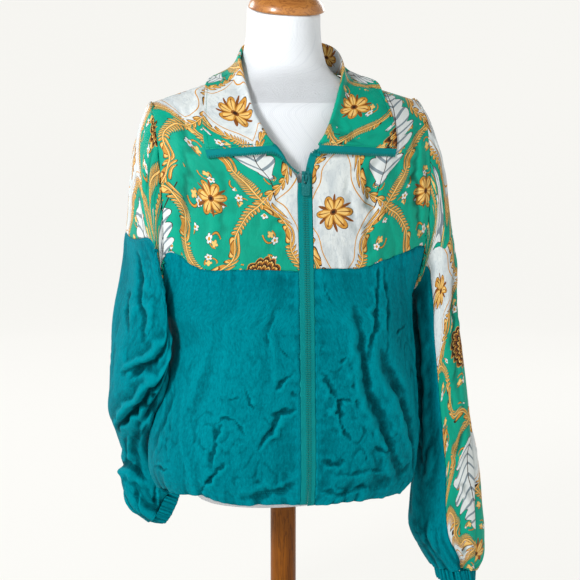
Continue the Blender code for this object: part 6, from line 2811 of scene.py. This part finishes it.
@dataclass
class Collar:
    """The printed collar, stand and fall in one sheet."""
    cut: JacketCut
    form_face: BVHTree
    yoke_faces: Sequence[BVHTree]
    panel: Optional[ClothPanel] = None

    CREASES = (
        Crease(((0.86, 0.66), (0.905, 0.72), (0.96, 0.80)), 0.0016, 0.006, 0.9),
        Crease(((0.10, 0.62), (0.15, 0.80)), 0.0012, 0.007, 0.7),
        Crease(((0.30, 0.60), (0.32, 0.84)), 0.0016, 0.008, 0.7),
        Crease(((0.66, 0.62), (0.69, 0.84)), 0.0018, 0.008, 0.7),
        Crease(((0.50, 0.60), (0.49, 0.88)), 0.0016, 0.010, 0.7),
    )

    def build(self, wardrobe: Wardrobe) -> None:
        """Build the collar and its edge stitching.

        Args:
            wardrobe: the finishes.
        """
        layers = (Layer(self.form_face, 0.0008),
                  *(Layer(face, 0.0026) for face in self.yoke_faces))
        self.panel = ClothPanel(
            "collar_cloth", "collar", self.cut.collar_point, Vector((0, 0, 0.90)),
            wardrobe.print, coarse=(150, 50), spacing=0.0024, thickness=0.0016,
            creases=self.CREASES, layers=layers, print_place=(0.012, 0.070, 0.0),
            rumple=0.0006, groove=0.0, held="folded")
        self.panel.build(wardrobe)
        sewing = Sewing("sewing_collar")
        sewing.run(*self.panel.line(Edge.TOP, 0.0055))
        sewing.run(*self.panel.line(Edge.START, 0.0030, 0.46, 1.0))
        sewing.run(*self.panel.line(Edge.END, 0.0030, 0.46, 1.0))
        sewing.build(wardrobe, wardrobe.green_thread)


@dataclass
class Zip:
    """Tapes, teeth, slider and pull tab."""
    cut: JacketCut
    collar: ClothPanel
    yoke_faces: Sequence[BVHTree]
    tape_width: float = 0.0105
    teeth_gap: float = 0.0003
    seam: float = 0.0003
    low_share: float = 0.62
    top_right: float = 0.33
    top_left: float = 0.44
    tape_gap: float = 0.0007
    slider_top: float = 0.7915
    slider_length: float = 0.0150
    slider_face: float = -0.1240
    slider_back: float = -0.1201
    slider_widths: tuple[float, float] = (0.0085, 0.0105)
    bridge_width: float = 0.0030
    bridge_half: float = 0.0056
    bridge_height: float = 0.0036
    bridge_wall: float = 0.0010
    pull_axis: tuple[float, float] = (-0.1250, 0.7864)
    pull_size: tuple[float, float, float] = (0.0115, 0.0290, 0.0010)
    eye_size: tuple[float, float] = (0.0054, 0.0125)

    # where the turned-out tapes follow the collar's front edges, from the roll out
    COLLAR_SHARES = (0.46, 0.595, 0.73, 0.865, 1.0)
    # the bridge's section: shares of its half width and of its wall
    BRIDGE_SECTION = ((-1, 0), (-0.7, -0.15), (0.7, -0.15), (1, 0), (1, 1), (-1, 1))

    def closed_runs(self, wardrobe: Wardrobe) -> None:
        """The tapes below the slider, and their meshed teeth.

        Args:
            wardrobe: the finishes.
        """
        for side in Side:
            top_v = self.top_right if side is Side.RIGHT else self.top_left

            def edge_at(v: float, side: Side = side, top_v: float = top_v) -> Vector:
                """The front's edge, from the hem to the tape's end.

                Args:
                    v: the share along.
                    side: the wearer's side.
                    top_v: how far up the yoke it goes.

                Returns:
                    The point.
                """
                if v < self.low_share:
                    return self.cut.lower_front(side, 0.0, v / self.low_share)
                rest = (v - self.low_share) / (1 - self.low_share)
                return self.cut.upper_front(side, 0.0, top_v * rest)

            def tape(u: float, v: float, side: Side = side,
                     edge_at: Callable = edge_at) -> Vector:
                """The tape's surface, bulged a little over the teeth.

                Args:
                    u: the share across.
                    v: the share along.
                    side: the wearer's side.
                    edge_at: the front's edge.

                Returns:
                    The point.
                """
                ahead = edge_at(min(v + 0.01, 1.0)) - edge_at(max(v - 0.01, 0.0))
                across = Vector((-side.value * ahead.z, 0, side.value * ahead.x))
                across.normalize()
                start = edge_at(v) + across * self.seam * 2.0
                end = start + across * (self.tape_width - self.seam * 0.5)
                if side.value * end.x - self.teeth_gap / 2 < 0:
                    end.x = side.value * self.teeth_gap / 2
                point = start.lerp(end, u)
                bulge = sin(pi * min(max(u - 0.45, 0.0) / 0.55, 1.0) / 2)
                return point + Vector((0, -0.0004 * bulge, 0))

            name = f"zip_tape_{side.word}"
            panel = ClothPanel(f"{name}_weave", name, tape, Vector((0, 0, 0.6)),
                               wardrobe.tape, coarse=(6, 90), spacing=0.0018,
                               thickness=0.0007, tucked="l", rumple=0.00012,
                               groove=0.0004, held="stretched")
            panel.build(wardrobe)
            teeth = TeethRow(f"zip_teeth_{side.word}")
            points, normals = panel.line(Edge.END, 0.0, 0.004, 0.95)
            outs = np.tile(np.array([-side.value, 0.0, 0.0]), (len(points), 1))
            inner = points - normals * 0.0003
            inner[:, 0] += side.value * 0.0010
            teeth.run(inner, outs, 0.5 if side is Side.RIGHT else 1.0)
            teeth.build(wardrobe, wardrobe.teeth)

    def turned_rows(self, side: Side) -> list[tuple[Vector, Vector]]:
        """Teeth and inner points along a turned-out tape.

        Args:
            side: the wearer's side.

        Returns:
            Pairs of points, from the slider outward.
        """
        grid = self.collar.grid
        column = 0 if side is Side.RIGHT else grid.shape[1] - 1
        last = grid.shape[0] - 1
        lapel = self.cut.LAPEL_RIGHT if side is Side.RIGHT else self.cut.LAPEL_LEFT
        rows = []
        for n in range(len(lapel.rows)):
            values = lapel.at(n)
            rows.append((Vector(values[:3]), Vector(values[3:])))
        for share in self.COLLAR_SHARES:
            point = Vector(grid[round(share * last), column])
            corner = 0.003 if share == 1.0 else 0.0
            inner = point + Vector((0, 0, -self.tape_gap))
            rows.append((inner + Vector((-side.value * corner, 0, -self.tape_width)),
                         inner))
        return rows

    def open_runs(self, wardrobe: Wardrobe) -> None:
        """The turned-out tapes beside the collar, with their bare teeth.

        Args:
            wardrobe: the finishes.
        """
        for side in Side:
            rows = self.turned_rows(side)
            run = SmoothTable(self.cut.LAPEL_COLUMNS,
                              [(n, *teeth, *inner)
                               for n, (teeth, inner) in enumerate(rows)])

            def opened(u: float, v: float, run: SmoothTable = run,
                       last: int = len(rows) - 1) -> Vector:
                """The tape's surface, from its teeth to its inner edge."""
                values = run.at(v * last)
                return Vector(values[:3]).lerp(Vector(values[3:]), u)

            name = f"zip_tape_{side.word}_open"
            panel = ClothPanel(f"{name}_weave", name, opened, Vector((0, 0.1, 0.8)),
                               wardrobe.tape, coarse=(6, 44), spacing=0.0018,
                               thickness=0.0008, tucked="r", rumple=0.0002,
                               groove=0.0, held="folded",
                               layers=tuple(Layer(face, 0.0016)
                                            for face in self.yoke_faces))
            panel.build(wardrobe)
            teeth = TeethRow(f"zip_teeth_{side.word}_open")
            points, _ = panel.line(Edge.START, 0.0)
            inner, _ = panel.line(Edge.START, 0.003)
            outs = points - inner
            teeth.run(points, outs / np.linalg.norm(outs, axis=1, keepdims=True), 0.8)
            teeth.build(wardrobe, wardrobe.teeth)

    def slider(self, wardrobe: Wardrobe) -> None:
        """The slider: two plates round the teeth, and a bridge on the face.

        Args:
            wardrobe: the finishes.
        """
        shape = bmesh.new()
        middle_z = self.slider_top - self.slider_length / 2
        low, high = self.slider_widths
        for front, back in ((self.slider_face, self.slider_face + 0.0013),
                            (self.slider_face + 0.0013, self.slider_back)):
            cube = bmesh.ops.create_cube(shape, size=1.0)["verts"]
            waist = 1.0 if front == self.slider_face else 0.72
            for vertex in cube:
                wide = high if vertex.co.z > 0 else low
                vertex.co.x *= wide * waist
                vertex.co.y = front if vertex.co.y < 0 else back
                vertex.co.z = middle_z + vertex.co.z * self.slider_length * (
                    1.0 if waist == 1.0 else 0.94)
        bmesh.ops.bevel(shape, geom=shape.edges[:], offset=0.0005, segments=2,
                        affect="EDGES", profile=0.5)
        half, sunk = self.bridge_width / 2, 0.0004
        rings = []
        for angle in (pi * i / 16 for i in range(17)):
            ring = []
            for x, wall in self.BRIDGE_SECTION:
                length = self.bridge_half - self.bridge_wall * wall
                height = self.bridge_height - self.bridge_wall * wall
                y = self.slider_face + sunk - (height + sunk) * sin(angle)
                ring.append(shape.verts.new((x * half, y,
                                             middle_z - length * cos(angle))))
            rings.append(ring)
        for ring, following in zip(rings, rings[1:]):
            for k in range(len(ring)):
                ahead = (k + 1) % len(ring)
                shape.faces.new((ring[k], following[k], following[ahead], ring[ahead]))
        shape.faces.new(rings[0])
        shape.faces.new(rings[-1][::-1])
        bmesh.ops.recalc_face_normals(shape, faces=shape.faces[:])
        mesh = bpy.data.meshes.new("zip_slider_cast")
        shape.to_mesh(mesh)
        shape.free()
        mesh.shade_smooth()
        mesh.set_sharp_from_angle(angle=radians(40))
        piece = linked("zip_slider_cast", mesh)
        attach(piece, JACKET_BODY)
        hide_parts("zip_slider")
        wardrobe.dress(piece, wardrobe.metal)
        LOG.info("zip_slider_cast: %d points", len(mesh.vertices))

    def pull(self, wardrobe: Wardrobe) -> None:
        """The pull tab: a plate with an oval eye and a raised frame low down.

        Args:
            wardrobe: the finishes.
        """
        wide, long, thick = self.pull_size
        axis_y, axis_z = self.pull_axis
        top, bottom = thick / 2, -long
        sides = 64

        def outline(width: float, high: float, low: float, round_off: float,
                    y: float) -> list[Vector]:
            """A rounded ring of the tab.

            Args:
                width: its width.
                high: its top.
                low: its bottom.
                round_off: under 1 squares it off.
                y: the place along.

            Returns:
                The ring's points.
            """
            points = []
            for i in range(sides):
                angle = 2 * pi * (i + 0.5) / sides
                x = width / 2 * squared(cos(angle), round_off)
                z = (high + low) / 2 + (high - low) / 2 * squared(sin(angle), round_off)
                points.append(Vector((x, axis_y + y, axis_z + z)))
            return points

        eye_top = top - thick
        eye_low = eye_top - self.eye_size[1]
        half = thick / 2
        bevel = 0.00022
        loops = [
            outline(self.eye_size[0], eye_top, eye_low, 0.7, half - bevel),
            outline(self.eye_size[0] + 2 * bevel, eye_top + bevel, eye_low - bevel, 0.7,
                    half),
            outline(wide - 2 * bevel, top - bevel, bottom + bevel, 0.35, half),
            outline(wide, top, bottom, 0.35, half - bevel),
            outline(wide, top, bottom, 0.35, -half + bevel),
            outline(wide - 2 * bevel, top - bevel, bottom + bevel, 0.35, -half),
            outline(self.eye_size[0] + 2 * bevel, eye_top + bevel, eye_low - bevel, 0.7,
                    -half),
            outline(self.eye_size[0], eye_top, eye_low, 0.7, -half + bevel),
        ]
        vertices = [point for loop in loops for point in loop]
        faces = []
        for j in range(len(loops)):
            a, b = j * sides, (j + 1) % len(loops) * sides
            faces += [(first, fourth, third, second) for first, second, third, fourth
                      in quads_between(a, b, sides)]
        frame_low, frame_high = bottom + 0.0035, bottom + 0.0085
        rim = 0.0007
        start = len(vertices)
        ridge = [
            outline(0.0048, frame_high, frame_low, 0.3, -half + 0.0001),
            outline(0.0044, frame_high - 0.0002, frame_low + 0.0002, 0.3,
                    -half - 0.0003),
            outline(0.0048 - 2 * rim, frame_high - rim, frame_low + rim, 0.3,
                    -half - 0.0003),
            outline(0.0046 - 2 * rim, frame_high - rim, frame_low + rim, 0.3,
                    -half + 0.0001),
        ]
        vertices += [point for loop in ridge for point in loop]
        for j in range(len(ridge)):
            a, b = start + j * sides, start + (j + 1) % len(ridge) * sides
            faces += quads_between(a, b, sides)
        piece = mesh_piece("zip_pull_cast", vertices, faces, body=PULL_BODY)
        piece.data.set_sharp_from_angle(angle=radians(40))
        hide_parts("zip_pull")
        wardrobe.dress(piece, wardrobe.metal)
        LOG.info("zip_pull_cast: %d points", len(vertices))

    def build(self, wardrobe: Wardrobe) -> None:
        """Build the whole zip.

        Args:
            wardrobe: the finishes.
        """
        self.closed_runs(wardrobe)
        self.open_runs(wardrobe)
        self.slider(wardrobe)
        self.pull(wardrobe)


# ---------------------------------------------------------------- the studio

@dataclass
class Studio:
    """Camera, lights and a pale bowl of a floor that rises all round."""
    azimuth: float = radians(-15)
    elevation: float = radians(7.2)
    distance: float = 1.9
    sensor_width: float = 36.0
    frame_width: float = 0.87
    aim_height: float = 0.61
    aim_right: float = 0.0105
    light_aim: float = 0.65
    floor_radius: float = 3.4
    wall_radius: float = 4.4
    wall_height: float = 4.0
    paper: Colour = linear(247, 246, 242)
    paper_base: Colour = linear(81, 81, 80)
    paper_glow: float = 0.905

    # each light's name, place, size in metres and power in watts
    LIGHTS = (("key", (-2.2, -1.7, 2.0), 0.6, 84.0),
              ("fill", (2.2, -2.1, 1.2), 1.4, 3.0),
              ("back_left", (-1.6, 2.4, 2.0), 1.0, 34.0),
              ("back_right", (1.8, 2.2, 1.8), 1.0, 14.0))

    def axes(self) -> tuple[Vector, Vector, Vector]:
        """The camera's right, up and back.

        Returns:
            The three directions.
        """
        a, e = self.azimuth, self.elevation
        right = Vector((cos(a), sin(a), 0))
        back = Vector((sin(a) * cos(e), -cos(a) * cos(e), sin(e)))
        return right, back.cross(right), back

    def camera(self) -> None:
        """Set the camera as the photograph was taken."""
        right, up, back = self.axes()
        aim = Vector((0, 0, self.aim_height)) + right * self.aim_right
        data = bpy.data.cameras.new("camera")
        data.sensor_width = self.sensor_width
        data.lens = self.sensor_width * self.distance / self.frame_width
        thing = linked("camera", data)
        place = Matrix((right, up, back)).transposed().to_4x4()
        place.translation = aim + back * self.distance
        thing.matrix_world = place
        bpy.context.scene.camera = thing

    def light(self, name: str, place: Vector, size: float, power: float) -> None:
        """Add an area light aimed at the jacket.

        Args:
            name: its name.
            place: where it stands.
            size: its side.
            power: its power in watts.
        """
        data = bpy.data.lights.new(name, "AREA")
        data.shape = "SQUARE"
        data.size = size
        data.energy = power
        thing = linked(name, data)
        aim = Vector((0, 0, self.light_aim)) - place
        thing.rotation_euler = aim.to_track_quat("-Z", "Y").to_euler()
        thing.location = place

    def floor(self) -> None:
        """The pale bowl."""
        sides = 96
        bend = self.wall_radius - self.floor_radius
        profile = [(0.001, 0.0), (1.0, 0.0), (2.4, 0.0), (self.floor_radius, 0.0)]
        profile += [(self.floor_radius + bend * sin(t), bend * (1 - cos(t)))
                    for t in np.linspace(radians(9), radians(90), 10)]
        profile.append((self.wall_radius, self.wall_height))
        vertices = [point for radius, z in profile
                    for point in circle(radius, z, sides)]
        faces = []
        for ring in range(len(profile) - 1):
            faces += quads_between(ring * sides, (ring + 1) * sides, sides)
        mesh = bpy.data.meshes.new("studio_bowl")
        mesh.from_pydata(vertices, [], faces)
        mesh.shade_smooth()
        bowl = linked("studio_bowl", mesh)
        made, _, shader = new_material("studio_paper")
        set_inputs(shader, {"Base Color": self.paper_base, "Roughness": 0.95,
                            "Emission Color": self.paper,
                            "Emission Strength": self.paper_glow})
        mesh.materials.append(made)

    def world(self) -> None:
        """Even light from above the bowl."""
        world = bpy.data.worlds.new("studio")
        bpy.context.scene.world = world
        world.use_nodes = True
        ground = world.node_tree.nodes["Background"]
        ground.inputs[0].default_value = (1.0, 0.99, 0.97, 1)
        ground.inputs[1].default_value = 0.12
        bpy.context.scene.view_settings.view_transform = "Standard"

    def build(self) -> None:
        """Build the studio."""
        self.camera()
        self.world()
        self.floor()
        for name, place, size, power in self.LIGHTS:
            self.light(name, Vector(place), size, power)


def main() -> None:
    """Build the studio, the form and the jacket."""
    logging.basicConfig(level=logging.INFO, format="%(name)s: %(message)s")
    wardrobe = Wardrobe()
    cut = JacketCut()
    Studio().build()
    form_face = DressForm().build(wardrobe)
    body = JacketBody(cut, form_face)
    body.build(wardrobe)
    yokes = [body.panels[name].faces() for name in
             ("yoke_front_right", "yoke_front_left", "yoke_back")]
    lower = [body.panels[name].faces() for name in
             ("front_right", "front_left", "back")]
    Sleeves(cut, [*lower, *yokes]).build(wardrobe)
    collar = Collar(cut, form_face, yokes)
    collar.build(wardrobe)
    Zip(cut, collar.panel, yokes).build(wardrobe)


if __name__ == "__main__":
    main()
